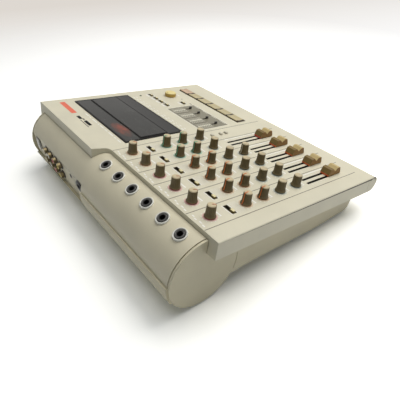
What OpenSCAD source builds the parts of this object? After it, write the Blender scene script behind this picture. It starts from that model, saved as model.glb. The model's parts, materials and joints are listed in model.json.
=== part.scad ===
// Four track cassette recorder with a built in mixer, in millimetres.
// Most pieces are drawn in the frame of the sloping top panel: X runs from the user's left
// to the right, Y from the front to the rear, and Z is zero on the panel's surface.
// seated() then tilts that frame and stands it on the feet.

/* [Case] */
// Angle at which the top panel slopes down to the front
deck_tilt = 8.5; // [7:0.5:10]
// Thickness of the top case
slab_t = 21; // [20:0.5:23]
// Depth of the top case, from the mixer's rear edge to the axis of the front roll
slab_d = 261.5; // [260:0.5:270]
// Distance by which the cassette deck reaches further back than the mixer
jog_d = 19.8; // [17:0.2:22]
// Wall thickness of the case mouldings
wall = 2.5; // [2:0.1:3]
// Overhang of the top case beyond the lower case on each side
side_overhang = 12; // [10:0.5:14]
// Rounding of the top case's side edges
edge_r = 1.5; // [0.5:0.1:2]
// Gap at the seams between the case mouldings
seam_gap = 0.5; // [0.3:0.1:0.8]
// Margin from the top case's left side to the first mixer line
left_margin = 20.5; // [18:0.5:24]
// Margin from the cassette door to the top case's right side
right_margin = 15.5; // [14:0.5:20]

/* [Barrel] */
// Radius of the round housing along the rear
barrel_r = 41.8; // [40:0.2:44]
// Depth of the barrel's axis below the panel's surface
barrel_drop = 46.9; // [46:0.2:49]
// Distance of the barrel's axis in front of the mixer's rear edge
barrel_in = 2.1; // [1:0.1:4]
// Height by which the lower case's belt stands out of the barrel
belt_t = 2; // [1:0.2:3]
// Depth of the rear seam below the panel's surface
seam_drop = 48.3; // [47:0.1:50]
// Depth of the belt's lower edge below the panel's surface
belt_drop = 71.5; // [70:0.5:74]
// Width of the groove between the barrel and its end discs
groove_w = 1.2; // [0.8:0.1:2]
// Lean of the flat socket panel against the top panel's upright
facet_lean = 12; // [10:0.5:14]
// Height of the flat socket panel along its face
facet_h = 32; // [31:0.5:34]
// Depth of the socket panel's top edge below the top panel's surface
facet_drop = 37; // [36:0.5:38]

/* [Lower case] */
// Distance of the lower case's front from the mixer's rear edge
lower_d = 248; // [244:0.5:252]
// Height of the lower case's underside above the barrel's lowest point
belly_rise = 27.7; // [26.2:0.5:29.2]
// Radius of the lower case's front bottom corner
front_round = 10; // [6:0.5:12]
// Height of the rubber feet below the barrel
foot_h = 2.2; // [1.5:0.1:4]
// Diameter of the rubber feet
foot_d = 18; // [14:0.5:22]
// Distance of the feet from the lower case's side walls
foot_inset = 34; // [25:1:50]
// Diameter of the case screws' shanks
screw_d = 3; // [2.5:0.1:3.4]

/* [Mixer] */
// Distance between neighbouring mixer strips
strip_pitch = 29; // [28:0.5:30]
// Distances of the knob rows from the mixer's rear edge
knob_rows = [18.8, 67.3, 92.5, 120.6, 147.5];
// Diameter of a knob's skirt
knob_d = 12.4; // [11:0.2:13]
// Diameter of a knob's top
knob_top_d = 8.2; // [7:0.2:9]
// Height of a knob
knob_h = 14.5; // [13:0.5:17]
// Diameter of the control shafts
shaft_d = 6; // [5:0.1:6.4]
// Distance of the input switches from the mixer's rear edge
input_row = 44.8; // [42:0.2:48]
// Travel of a channel fader
fader_travel = 45; // [43:0.5:46]
// Travel of the master fader
master_travel = 60; // [55:0.5:61]
// Distance of a lowered fader from the mixer's rear edge
fader_rest = 214; // [212:0.5:216]
// Distance between a fader's two slots
slot_spacing = 8; // [7:0.2:9]
// Thickness of a fader cap's legs
leg_t = 2; // [1.6:0.1:2.4]
// Length of a fader cap
cap_l = 24; // [22:0.5:26]
// Width of a fader cap
cap_w = 12.6; // [12:0.2:14]
// Height of a fader cap
cap_h = 9.6; // [8:0.2:11]

/* [Cassette deck] */
// Width of the cassette door
door_w = 149; // [147:0.5:151]
// Depth of the cassette door
door_d = 87.6; // [86:0.2:89]
// Distance of the door's rear edge from the mixer's rear edge
door_v = 24.4; // [23:0.2:26]
// Thickness of the door at its rim
door_t = 5.4; // [5:0.1:6]
// Diameter of the door's hinge pins
hinge_pin_d = 2; // [1.6:0.1:2.2]
// Gap round the cassette door
door_gap = 0.4; // [0.3:0.05:0.6]
// Width of the cassette well
well_w = 132; // [126:1:136]
// Depth of the mechanism plate below the panel
plate_drop = 26; // [25:0.5:27]
// Distance between the reel spindles
reel_pitch = 42.5; // [42:0.1:43]
// Distance of the reel spindles from the mixer's rear edge
reel_v = 66; // [64:0.5:68]
// Travel of the head block towards the cassette
head_travel = 6.5; // [5:0.5:7]
// Width of one transport key
key_w = 23.9; // [23:0.1:24.2]
// Gap between transport keys
key_gap = 0.8; // [0.6:0.1:1]
// Depth of a transport key from rear to front
key_d = 15.5; // [14:0.5:16]
// Distance of the keys' rear edge from the mixer's rear edge
key_v = 212; // [211:0.5:213]
// Height of the keys above the panel
key_top = 2.2; // [1:0.2:3]
// Diameter of the rod on which the keys turn
key_rod_d = 3; // [2.5:0.1:3.5]
// Width of the grey meter panel
meter_w = 82.4; // [80:0.2:84]
// Depth of the grey meter panel
meter_d = 49.8; // [48:0.2:52]
// Diameter of the pitch knob
pitch_d = 18; // [16:0.5:20]

/* [Sockets] */
// Radius of the quarter inch jack bores
jack_r = 3.2; // [3.1:0.05:3.4]
// Depth of the jack bores
jack_l = 24; // [20:1:26]
// Outer diameter of the bezel rings round the jacks
ring_d = 15.5; // [15:0.1:16.5]
// Angle of the input jacks on the barrel, from the panel's upright
jack_angle = 24.5; // [23:0.5:27]
// Distance between the phono sockets along the panel
phono_pitch = 15.6; // [14:0.2:16]
// Diameter of a phono socket's sleeve
phono_d = 8.3; // [8:0.1:8.6]
// Length of a phono socket's sleeve outside the panel
phono_l = 5; // [4:0.2:5.2]

/* [Hidden] */
$fn = 48;
ROW_NAMES = ["trim", "treble", "bass", "effect", "pan"];
KEY_NAMES = ["pause", "stop", "forward", "rewind", "play", "record"];
strips = 6;
channels = 4;
KNOBS = [for (s = [1:strips]) for (r = [0:s <= channels ? 4 : 3]) [str(ROW_NAMES[r], "_knob_", s), s, r]];
FADERS = [for (s = [1:channels + 1]) [s <= channels ? str("fader_", s) : "fader_master", s]];
KEYS = [for (k = [0:5]) [str("key_", KEY_NAMES[k]), k]];

far = 500;
// Overshoot of a cut past the face it opens, and overlap of solids that are joined.
cut = 1;
sunk = 0.01;
// Clearance round a moving piece, in a bearing, and between fixed pieces.
run_gap = 0.3;
pivot_gap = 0.05;
seat_gap = 0.2;

// Places along the case.
deck_gap = 11.7;
jog_offset = 13.5;
jog_fillet = 9;
jog_lean = 17;
facet_offset = 2.5;
mixer_x1 = left_margin + strips * strip_pitch;
door_x = mixer_x1 + deck_gap;
door_x1 = door_x + door_w;
case_w = door_x1 + right_margin;
body_x0 = side_overhang;
body_x1 = case_w - side_overhang;
jog_x = mixer_x1 + jog_offset;
facet_x0 = mixer_x1 + facet_offset;
cover_x0 = body_x0 + wall + groove_w;
cover_x1 = body_x1 - wall - groove_w;
belt_x0 = body_x0 + wall;
belt_x1 = body_x1 - wall;

// Case mouldings.
cover_step = wall + run_gap;
rim_l = 4;
rim_t = 1.5;
line_w = 0.6;
line_deep = 0.3;
roll_ring_in = 2.2;
roll_ring_w = 0.8;
roll_ring_deep = 0.6;
lower_drop = barrel_drop + barrel_r - belly_rise;
front_bottom_rise = 19;
front_lean = 1;
belly_curve = [[226, 8], [198, 4.5], [169, 2], [110, 0], [75, -1], [40, -4.5]];
lift = foot_h + barrel_r + barrel_in * sin(deck_tilt) + barrel_drop * cos(deck_tilt);
rear_reach = -barrel_in * cos(deck_tilt) + barrel_drop * sin(deck_tilt) + barrel_r + belt_t;
front_reach = slab_d * cos(deck_tilt) - slab_t / 2 * sin(deck_tilt) + slab_t / 2;
row_shift = (front_reach - rear_reach) / 2;

// Feet and case screws.
foot_chamfer = 1;
foot_sunk = 4;
rear_foot_y = row_shift - barrel_in * cos(deck_tilt) + barrel_drop * sin(deck_tilt);
front_foot_v = 214;
front_foot_y = row_shift - front_foot_v * cos(deck_tilt) + lower_drop * sin(deck_tilt);
front_foot_top = lift - front_foot_v * sin(deck_tilt) - (lower_drop - belly_curve[0][1]) * cos(deck_tilt);
screw_inset = 6.5;
screw_x = [body_x0 + wall + screw_inset, body_x1 - wall - screw_inset];
screw_v = [12, 120, lower_d - 10];
screw_l = 18;
screw_head_d = 2 * screw_d + 0.8;
screw_head_h = 2;
screw_slot = [4, 0.8];
screw_slot_deep = 0.9;
tower_d = 8;
tower_blind = 8;
post_d = 11;
head_pocket_d = screw_head_d + 1.4;
head_seat = slab_t + 8;

// Knobs, switches and what carries them under the panel.
shaft_hole_d = shaft_d + 1.4;
knob_lift = 0.6;
knob_skirt_h = 1.4;
knob_flare = 0.9;
knob_flare_h = 1.8;
knob_cap_h = 1.2;
pointer_w = 1;
pointer_out = 0.3;
lowest_turn = 150;
pitch_h = 6;
pitch_edge = 1;
pitch_mark_d = 2;
board_t = 1.6;
board_top = 12.4;
board_post_d = 5;
board_post_v = [34, 134, 228];
pot_w = 11;
pot_h = 6;
bushing_d = shaft_d + 2;
bushing_top = wall + run_gap;
shaft_bottom = board_top - pot_h + run_gap;
slot_w = leg_t + 0.8;
leg_l = 8;
leg_drop = 8;
leg_room = 1.6;
fader_body = [18, 12, 10];
fader_body_top = 4;
switch_top = 4;
stem_w = 2.2;
stem_drop = 5.4;
grip_sunk = 1.2;
input_grip = [5, 3.2, 2];
input_slot = [14, 4];
input_travel = 8;
deck_grip = [4, 2.6, 2];
deck_slot = [9, 3.4];
deck_travel = 4;
record_grip = [2.2, 3.6, 3];
record_slot = [3, 10];
record_travel = 3;
monitor_grip = [5, 3.2, 2];
monitor_slot = [monitor_grip[0] + 0.8, monitor_grip[1] + 0.8];
monitor_travel = 1.5;
led_d = 3;
led_out = 0.8;
input_x = [for (s = [1:strips]) strip_x(s)];
deck_switch_pitch = 15;
deck_switch_at = concat(
    [for (k = [0:3]) [door_x1 - 55 + deck_switch_pitch * k, -149.5]],
    [[door_x1 - 56.5, -180]]
);
monitor_at = [for (v = [143, 158, 167.5]) [strip_x(6), -v]];
meter_x = door_x - 4.1;
meter_v = 141.3;
meter_t = 1.2;
record_at = [for (k = [0:3]) [meter_x + meter_w * (k + 0.5) / 4, -(meter_v + 32.5)]];
led_at = [door_x1 - 7, -132];
pitch_at = [door_x1 - 23, -179];
deck_post_at = [[meter_x + 4, -186], [led_at[0] - 12, led_at[1] - 7], [pitch_at[0] + 14, pitch_at[1] - 8]];

// Door and cassette well.
door_top = 1;
door_rim = 2.2;
door_skin = 2;
hinge_y = -(door_v + door_t / 2);
hinge_z = door_top - door_t / 2;
well_wall = 2.5;
well_drop = 8;
well_x = door_x + (door_w - well_w) / 2;
well_y0 = -(door_v + door_d - 1.5);
well_y1 = -(door_v + 3);
tray_t = 2;
window_w = door_w - 7;
window_v = door_v + 23.6;
window_d = 41.5;
window_h = 1;

// Tape mechanism, drawn for a standard compact cassette lying in the well.
reel_x = door_x + door_w / 2;
spindle_pin_d = 2.4;
spindle_d = 8;
spindle_tip_d = 3.4;
spindle_tip_h = 2;
spindle_top = 11;
spindle_table = [20, 1.6];
spindle_rib = [2, 1.2];
cassette_d = 63.8;
cassette_bottom = plate_drop - 5;
cassette_front = reel_v + 34;
locator_x = 44;
locator_d = 6;
capstan_d = 2.5;
capstan_v = cassette_front - 7;
capstan_x = reel_x + 31;
roller_d = 9;
roller_h = 9;
roller_v = capstan_v + capstan_d / 2 + run_gap + roller_d / 2 + head_travel;
head_front = cassette_front + 1.5;
head_plate_t = 2;
head_d = 6;
head_w = 14;
erase_x = 28;
erase_w = 8;
head_plate_x = [reel_x - erase_x - 12, capstan_x + 7];
head_plate_front = well_y0 + 2 * run_gap;
motor_x = 38;
motor_v = door_v + door_d + 38;
motor_d = 32;
motor_h = 22;
motor_pulley = [7, 26];
flywheel_d = 46;
flywheel_h = 7;
flywheel_drop = 15;

// Transport keys.
keys_x = door_x - 2.7;
key_pitch = key_w + key_gap;
keys_w = 6 * key_pitch - key_gap;
key_rod_v = key_v - 15;
key_rod_drop = 6.5;
key_hub_d = key_rod_d + 4;
key_arm_w = 10;
key_arm_t = 3;
key_bevel = [1.2, 1];
key_round = 0.8;
key_dish = 0.9;
keys_gap = 0.8;
key_bracket = [2, 8];
key_bracket_out = 3;

// Sockets.
jack_nut_d = 11.3;
jack_nut_h = 1.8;
jack_bush_d = 9.2;
jack_body = [14, 13, 22];
jack_body_gap = 0.8;
jack_chamber = [0.6, 1.2];
ring_h = 1.6;
ring_edge = 0.5;
phones_at = [facet_x0 + 9, 8.5];
remote_at = [facet_x0 + 34, 7.5];
remote_d = 3.6;
remote_bush_d = 6;
remote_body = 10;
remote_l = 12;
power_at = [cover_x1 - 17, 11];
power_size = [10, 14];
power_deep = 5.5;
power_out = 2.4;
power_travel = 2.5;
power_frame = 2;
power_frame_out = 0.5;
inlet_at = [power_at[0] - 19, 12];
inlet_d = 6.3;
inlet_pin_d = 2;
inlet_face_d = 9;
inlet_body = 12;
phono_x = inlet_at[0] - 11.2 - 3 * phono_pitch;
phono_rows = [7, 21];
phono_core_d = 3.4;
phono_rim = 0.7;
phono_lip = 2;
collar_d = phono_d + 2.6;
collar_h = 0.8;
phono_block_margin = 9;
phono_block_h = 7;

function strip_x(s) = left_margin + (s - 0.5) * strip_pitch;
function knob_at(k) = [strip_x(k[1]), -knob_rows[k[2]]];
function travel_of(s) = s <= channels ? fader_travel : master_travel;
function ring_points(c, r, a0, a1, n) = [
    for (i = [0:n]) c + r * [cos(a0 + (a1 - a0) * i / n), sin(a0 + (a1 - a0) * i / n)]
];

// The top case's outline seen from above, drawn in by i on every side but the front.
function jog_centre() = [
    jog_x - jog_fillet * cos(jog_lean)
        - (jog_d - jog_fillet + jog_fillet * sin(jog_lean)) * tan(jog_lean),
    jog_fillet
];
function jog_top_x(i) =
    jog_centre()[0] + (jog_fillet + i) * cos(jog_lean)
        + (jog_d - i - jog_fillet + (jog_fillet + i) * sin(jog_lean)) * tan(jog_lean);
function slab_outline(i) = concat(
    [[i, -slab_d], [case_w - i, -slab_d], [case_w - i, jog_d - i], [jog_top_x(i), jog_d - i]],
    ring_points(jog_centre(), jog_fillet + i, -jog_lean, -90, 6),
    [[i, -i]]
);

// The lower case's wedge seen from its left side, drawn in by i.
function wedge_profile(i) = concat(
    [[-barrel_in, -slab_t + i], [-lower_d + i, -slab_t + i]],
    ring_points(
        [-lower_d + front_lean + front_round, front_bottom_rise - lower_drop], front_round - i, 180, 245, 6
    ),
    [for (p = belly_curve) [-p[0], -lower_drop + p[1] + i]],
    [[-barrel_in, -lower_drop + belly_curve[5][1] + i]]
);

module seated()
    translate([-case_w / 2, row_shift, lift]) rotate([deck_tilt, 0, 0]) children();

module along_x(x0, x1)
    translate([x0, 0, 0]) rotate([90, 0, 90]) linear_extrude(x1 - x0) children();

module box(x, y, z)
    translate([x[0], y[0], z[0]]) cube([x[1] - x[0], y[1] - y[0], z[1] - z[0]]);

module at(p)
    translate([p[0], p[1], 0]) children();

module barrel_disc(r)
    translate([-barrel_in, -barrel_drop]) circle(r, $fn = 120);

// Local frame of the flat socket panel: X along it, Y down its face, Z out of it.
module on_facet(p, out = 0)
    translate([p[0], facet_y(0), -facet_drop])
        rotate([-facet_lean, 0, 0]) rotate([-90, 0, 0]) translate([0, p[1], out]) children();

function facet_y(i) =
    -barrel_in + sqrt(pow(barrel_r, 2) - pow(barrel_drop - facet_drop, 2)) - i;

// Local frame of an input jack: Z points out of the barrel along its bore.
module on_barrel(x, out = 0)
    translate([x, -barrel_in, -barrel_drop]) rotate([-jack_angle, 0, 0])
        translate([0, 0, barrel_r + out]) children();

// Everything outside the flat socket panel, with the panel moved inward by i.
module outside_facet(i)
    translate([facet_y(0), -facet_drop]) rotate(-facet_lean)
        translate([-i, -far]) square([far, 2 * far]);

module slab_prism(i, z0, z1)
    translate([0, 0, z0]) linear_extrude(z1 - z0) polygon(slab_outline(i));

// ---- Case mouldings ----

// Removes the corner along a straight edge; the material lies at +X and -Z.
module edge_cutter(l)
    rotate([-90, 0, 0]) linear_extrude(l) difference() {
        translate([-1, -1]) square(edge_r + 1);
        translate([edge_r, edge_r]) circle(edge_r);
    }

module slab_solid() {
    slab_prism(0, -slab_t, 0);
    along_x(0, case_w) translate([-slab_d, -slab_t / 2]) circle(slab_t / 2, $fn = 96);
}

module slab_cavity() {
    slab_prism(wall, wall - slab_t, -wall);
    along_x(wall, case_w - wall) translate([-slab_d, -slab_t / 2]) circle(slab_t / 2 - wall);
    intersection() {
        slab_prism(wall, -slab_t - 1, -wall - 1);
        box([body_x0 + wall, body_x1 - wall], [wall - lower_d, jog_d], [-slab_t - 1, -wall - 1]);
    }
}

module roll_rings()
    for (x = [0, case_w])
        translate([x, -slab_d, -slab_t / 2]) rotate([0, 90, 0]) rotate_extrude()
            translate([slab_t / 2 - roll_ring_in, -roll_ring_deep]) square([roll_ring_w, 2 * roll_ring_deep]);

module door_frame(grow, z0, z1)
    box([door_x - grow, door_x1 + grow],
        [-door_v - door_d - grow, -door_v + grow], [z0, z1]);

module hinge_bores(clearance)
    along_x(door_x - door_gap - well_wall - cut, door_x1 + door_gap + well_wall + cut)
        translate([hinge_y, hinge_z]) circle(d = hinge_pin_d + 2 * clearance);

module screw_places()
    for (x = screw_x) for (v = screw_v) translate([x, -v, 0]) children();

// Posts under the panel that carry the circuit boards.
module board_posts() {
    for (i = [1:2:strips - 1]) for (v = board_post_v)
        at([left_margin + i * strip_pitch, -v]) board_post();
    for (p = deck_post_at) at(p) board_post();
}

module board_post()
    translate([0, 0, -board_top]) cylinder(d = board_post_d, h = board_top - wall / 2);

module fader_slots(w, l, z0, z1)
    for (f = FADERS) for (side = [-1, 1]) {
        x = strip_x(f[1]) + side * slot_spacing / 2;
        box([x - w / 2, x + w / 2],
            [-fader_rest - l / 2, -fader_rest + travel_of(f[1]) + l / 2], [z0, z1]);
    }

module panel_openings() {
    for (k = KNOBS) at(knob_at(k)) wall_hole(shaft_hole_d);
    at(pitch_at) wall_hole(shaft_hole_d);
    at(led_at) wall_hole(led_d + run_gap);
    fader_slots(slot_w, leg_l + leg_room, -wall - cut, cut);
    for (x = input_x) slot_at([x, -input_row], input_slot);
    for (p = deck_switch_at) slot_at(p, deck_slot);
    for (p = monitor_at) slot_at(p, monitor_slot);
    for (p = record_at) slot_at(p, record_slot);
    box([meter_x, meter_x + meter_w], [-meter_v - meter_d, -meter_v], [-meter_t, cut]);
    box([keys_x - keys_gap, keys_x + keys_w + keys_gap],
        [-key_v - key_d - 2 * keys_gap, -key_v + keys_gap], [-wall - cut, cut]);
}

// A round hole through the wall below the present frame's origin.
module wall_hole(d)
    translate([0, 0, -wall - cut]) cylinder(d = d, h = wall + 2 * cut);

module slot_at(p, size)
    at(p) translate([-size[0] / 2, -size[1] / 2, -wall - cut]) cube([size[0], size[1], wall + 2 * cut]);

module strip_lines()
    for (i = [0:strips]) {
        x = left_margin + i * strip_pitch;
        box([x - line_w / 2, x + line_w / 2], [-lower_d, -line_w], [-line_deep, cut]);
    }

module top_case() color([0.83, 0.8, 0.73]) seated() difference() {
    union() {
        difference() {
            slab_solid();
            slab_cavity();
        }
        door_frame(door_gap + well_wall, -well_drop, -wall / 2);
        screw_places() translate([0, 0, -slab_t]) cylinder(d = tower_d, h = slab_t - wall / 2);
        board_posts();
    }
    door_frame(door_gap, -well_drop - cut, cut);
    hinge_bores(pivot_gap);
    screw_places() translate([0, 0, -slab_t - cut])
        cylinder(d = screw_d + seat_gap, h = slab_t + cut - tower_blind);
    panel_openings();
    strip_lines();
    roll_rings();
    translate([0, -slab_d, 0]) edge_cutter(slab_d + cut);
    translate([case_w, -slab_d, 0]) mirror([1, 0, 0]) edge_cutter(slab_d + jog_d + cut);
}

// Section of the barrel's skin from depth i to depth j, round or with the flat socket panel.
module rear_skin(flat, i, j)
    difference() {
        rear_section(flat, i);
        rear_section(flat, j);
    }

module rear_section(flat, i)
    difference() {
        barrel_disc(barrel_r - i);
        if (flat) outside_facet(i);
    }

// Wall that closes the step between the round part and the flat socket panel.
module step_wall(x)
    along_x(x - wall, x) difference() {
        rear_section(false, 1);
        rear_section(true, cover_step);
    }

module rear_cover() color([0.8, 0.78, 0.71]) seated() difference() {
    union() {
        intersection() {
            union() {
                along_x(cover_x0, facet_x0) rear_skin(false, 0, wall);
                step_wall(facet_x0);
            }
            box([0, facet_x0], [0, far], [-seam_drop + seam_gap, 0]);
        }
        intersection() {
            along_x(facet_x0, cover_x1) rear_skin(true, 0, wall);
            box([facet_x0, case_w], [0, far], [-facet_bottom(), 0]);
        }
    }
    slab_prism(-seam_gap, -slab_t, cut);
    for (x = input_x) on_barrel(x, -wall - 2 * cut) cylinder(d = jack_bush_d + run_gap, h = wall + 4 * cut);
    on_facet(phones_at) wall_hole(jack_bush_d + run_gap);
    on_facet(remote_at) wall_hole(remote_bush_d + 2 * seat_gap);
    phono_places() wall_hole(collar_d + 2 * seat_gap);
    on_facet(inlet_at) wall_hole(inlet_face_d + 2 * seat_gap);
    on_facet(power_at) power_box(power_frame + seat_gap, -wall - cut, cut);
}

// The power button's outline, grown on all sides.
module power_box(grow, z0, z1)
    box([-power_size[0] / 2 - grow, power_size[0] / 2 + grow],
        [-power_size[1] / 2 - grow, power_size[1] / 2 + grow], [z0, z1]);

function facet_bottom() = facet_drop + facet_h * cos(facet_lean);

module phono_places()
    for (c = [0:3]) for (s = phono_rows)
        on_facet([phono_x + c * phono_pitch, s]) children();

module lower_outer() {
    along_x(body_x0, body_x1) {
        polygon(wedge_profile(0));
        barrel_disc(barrel_r);
    }
    intersection() {
        along_x(belt_x0, belt_x1) barrel_disc(barrel_r + belt_t);
        box([0, case_w], [0, far], [-belt_drop, -seam_drop]);
    }
}

module lower_cavity()
    along_x(body_x0 + wall, body_x1 - wall) {
        polygon(wedge_profile(wall));
        barrel_disc(barrel_r - wall);
        translate([-lower_d + wall, -slab_t - 1]) square([lower_d - wall - barrel_in, 10]);
    }

// Rims on which the rear cover's ends and lower edge sit.
module cover_rims() {
    intersection() {
        union() {
            along_x(belt_x0, belt_x0 + groove_w + rim_l) rear_skin(false, cover_step, cover_step + rim_t);
            along_x(belt_x1 - groove_w - rim_l, belt_x1) rear_skin(true, cover_step, cover_step + rim_t);
        }
        box([0, case_w], [0, far], [-facet_bottom() - 1, 0]);
    }
    intersection() {
        along_x(belt_x0, facet_x0 - wall - seam_gap) rear_skin(false, cover_step, cover_step + rim_t);
        box([0, case_w], [0, far], [-seam_drop - rim_l, -seam_drop + rim_l]);
    }
    intersection() {
        step_wall(facet_x0 - seam_gap);
        box([0, case_w], [0, far], [-far, -seam_drop]);
    }
}

module lower_case() color([0.78, 0.76, 0.69]) seated() difference() {
    union() {
        difference() {
            lower_outer();
            lower_cavity();
            box([belt_x0, belt_x1], [-barrel_in, far], [-seam_drop, cut]);
        }
        cover_rims();
        intersection() {
            lower_outer();
            screw_places() translate([0, 0, -far]) cylinder(d = post_d, h = far - slab_t - seat_gap);
        }
    }
    slab_prism(-seam_gap, -slab_t, cut);
    box([0, case_w], [-far, 0], [-slab_t, cut]);
    box([facet_x0 - seam_gap, belt_x1 + sunk], [0, far], [-facet_bottom() - seam_gap, -seam_drop + cut]);
    screw_places() translate([0, 0, -far]) cylinder(d = head_pocket_d, h = far - head_seat);
    screw_places() translate([0, 0, -far]) cylinder(d = screw_d + 2 * seat_gap, h = far);
    disc_groove();
}

// Short groove between the end discs and the wedge's side walls.
module disc_groove()
    for (x = [body_x0, body_x1]) intersection() {
        along_x(x - line_w, x + line_w) difference() {
            barrel_disc(barrel_r + line_w);
            barrel_disc(barrel_r - line_w / 2);
        }
        box([0, case_w], [-far, 2 - barrel_r], [-barrel_drop - 13, -barrel_drop + 9]);
    }

module foot(x, y, h)
    translate([x, y, 0]) {
        cylinder(d = foot_d - 2 * foot_chamfer, h = foot_chamfer);
        translate([0, 0, foot_chamfer]) cylinder(d = foot_d, h = h);
    }

// Feet, cut to the lower case's underside.
module feet() color([0.12, 0.12, 0.12]) difference() {
    for (side = [-1, 1]) {
        x = side * (body_x1 - body_x0 - 2 * foot_inset) / 2;
        foot(x, rear_foot_y, foot_h + foot_chamfer);
        foot(x, front_foot_y, front_foot_top + foot_sunk);
    }
    seated() lower_outer();
}

module screws() color([0.5, 0.5, 0.5]) seated() screw_places() translate([0, 0, -head_seat - seat_gap]) {
    difference() {
        translate([0, 0, -screw_head_h]) cylinder(d = screw_head_d, h = screw_head_h);
        for (a = [0, 90]) rotate(a)
            translate([-screw_slot[0] / 2, -screw_slot[1] / 2, -screw_head_h - cut])
                cube([screw_slot[0], screw_slot[1], cut + screw_slot_deep]);
    }
    cylinder(d = screw_d, h = screw_l);
}

// ---- Controls ----

// A knob's turn at rest: these rows stand at their lowest setting, as they were left.
function rest_turn(k) = k[2] == 0 || k[2] == 3 || (k[2] == 4 && k[1] < channels) ? lowest_turn : 0;

module knob(k) color([0.3, 0.27, 0.18]) seated() at(knob_at(k)) rotate(rest_turn(k)) {
    rotate_extrude() polygon([
        [0, knob_lift - 2 * knob_cap_h], [shaft_d / 2, knob_lift - 2 * knob_cap_h], [shaft_d / 2, knob_lift],
        [knob_d / 2, knob_lift], [knob_d / 2, knob_lift + knob_skirt_h],
        [knob_d / 2 - knob_flare, knob_lift + knob_skirt_h + knob_flare_h],
        [knob_top_d / 2 + pointer_w / 2, knob_h - knob_cap_h], [knob_top_d / 2, knob_h], [0, knob_h]
    ]);
    translate([0, 0, -shaft_bottom]) cylinder(d = shaft_d, h = shaft_bottom);
    translate([-pointer_w / 2, 0, knob_lift])
        cube([pointer_w, knob_d / 2 - 0.1, knob_h - knob_lift + pointer_out]);
}

module pitch_knob() color([0.85, 0.8, 0.6]) seated() at(pitch_at) {
    difference() {
        translate([0, 0, knob_lift]) union() {
            cylinder(d = pitch_d, h = pitch_h - pitch_edge);
            translate([0, 0, pitch_h - pitch_edge])
                cylinder(d1 = pitch_d, d2 = pitch_d - 2 * pitch_edge, h = pitch_edge);
        }
        translate([0, pitch_d / 2 - 1.5 * pitch_mark_d, pitch_h + knob_lift - pitch_mark_d / 4])
            cylinder(d = pitch_mark_d, h = pitch_mark_d);
    }
    translate([0, 0, -shaft_bottom]) cylinder(d = shaft_d, h = shaft_bottom + knob_lift + pitch_edge);
}

module fader(f) color([0.62, 0.52, 0.33]) seated() translate([strip_x(f[1]), -fader_rest, 0]) {
    half = cap_l / 2;
    slope = 2.6;
    valley = 4;
    along_x(-cap_w / 2, cap_w / 2) polygon([
        [-half, knob_lift], [-half, slope], [-half + slope, cap_h - knob_lift], [-valley - knob_lift, cap_h],
        [0, cap_h - valley], [valley + knob_lift, cap_h], [half - slope, cap_h - knob_lift], [half, slope],
        [half, knob_lift]
    ]);
    for (side = [-1, 1])
        translate([side * slot_spacing / 2 - leg_t / 2, -leg_l / 2, -leg_drop])
            cube([leg_t, leg_l, leg_drop + knob_lift + sunk]);
}

// A slide switch's knob: a grip over the panel and a stem into the switch below.
module slide_grip(size) {
    translate([-size[0] / 2, -size[1] / 2, -grip_sunk]) cube([size[0], size[1], size[2] + grip_sunk]);
    stem();
}

module stem()
    translate([-stem_w / 2, -stem_w / 2, -stem_drop]) cube([stem_w, stem_w, stem_drop - grip_sunk + sunk]);

module input_switches() color([0.85, 0.82, 0.6]) seated()
    for (x = input_x) translate([x - input_travel / 2, -input_row, 0]) slide_grip(input_grip);

module deck_switches() color([0.85, 0.82, 0.6]) seated()
    for (p = deck_switch_at) at(p) translate([-deck_travel / 2, 0, 0]) slide_grip(deck_grip);

module record_switches() color([0.1, 0.1, 0.1]) seated()
    for (p = record_at) at(p) translate([0, -record_travel, 0]) slide_grip(record_grip);

module monitor_buttons() color([0.8, 0.78, 0.7]) seated()
    for (p = monitor_at) at(p) slide_grip(monitor_grip);

// ---- Boards under the panel ----

module board(x, y)
    box(x, y, [-board_top - board_t, -board_top]);

module pot(h)
    difference() {
        translate([0, 0, -board_top]) union() {
            translate([-pot_w / 2, -pot_w / 2, -sunk]) cube([pot_w, pot_w, h]);
            cylinder(d = bushing_d, h = board_top - bushing_top);
        }
        translate([0, 0, -shaft_bottom - run_gap])
            cylinder(d = shaft_d + 2 * pivot_gap, h = shaft_bottom + run_gap);
    }

// A switch body with a channel for the stem that slides in it or is pushed down by press.
module switch_body(size, channel, press = 0)
    difference() {
        translate([-size[0] / 2, -size[1] / 2, -board_top - sunk])
            cube([size[0], size[1], board_top - switch_top]);
        translate([-channel[0] / 2, -channel[1] / 2, -stem_drop - press - run_gap])
            cube([channel[0], channel[1], stem_drop + press]);
    }

module fader_bodies()
    difference() {
        for (f = FADERS)
            box([strip_x(f[1]) - fader_body[0] / 2, strip_x(f[1]) + fader_body[0] / 2],
                [-fader_rest - fader_body[1], -fader_rest + travel_of(f[1]) + fader_body[2]],
                [-board_top - sunk, -fader_body_top]);
        fader_slots(slot_w + 2 * seat_gap, leg_l + leg_room, -leg_drop - run_gap, 0);
    }

module circuit_boards() color([0.2, 0.38, 0.22]) seated() {
    channel_w = stem_w + 2 * run_gap;
    board([screw_x[0] + post_d / 2 + 1.5, mixer_x1 - seam_gap], [-fader_rest - 18, -8]);
    board([mixer_x1 + 9, body_x1 - 7], [-key_rod_v + 6, -door_v - door_d - 16]);
    for (k = KNOBS) at(knob_at(k)) pot(pot_h);
    at(pitch_at) pot(pot_h);
    fader_bodies();
    for (x = input_x) at([x, -input_row]) switch_body([17, 7], [input_travel + 3, channel_w]);
    for (p = deck_switch_at) at(p) switch_body([10, 7], [deck_travel + 3, channel_w]);
    for (p = record_at) at(p) switch_body([7, 13], [channel_w, 2 * record_travel + 3]);
    for (p = monitor_at) at(p) switch_body([8, 7], [channel_w, channel_w], monitor_travel);
    at(led_at) translate([0, 0, -board_top - sunk]) cylinder(d = led_d, h = board_top + led_out);
}

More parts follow.
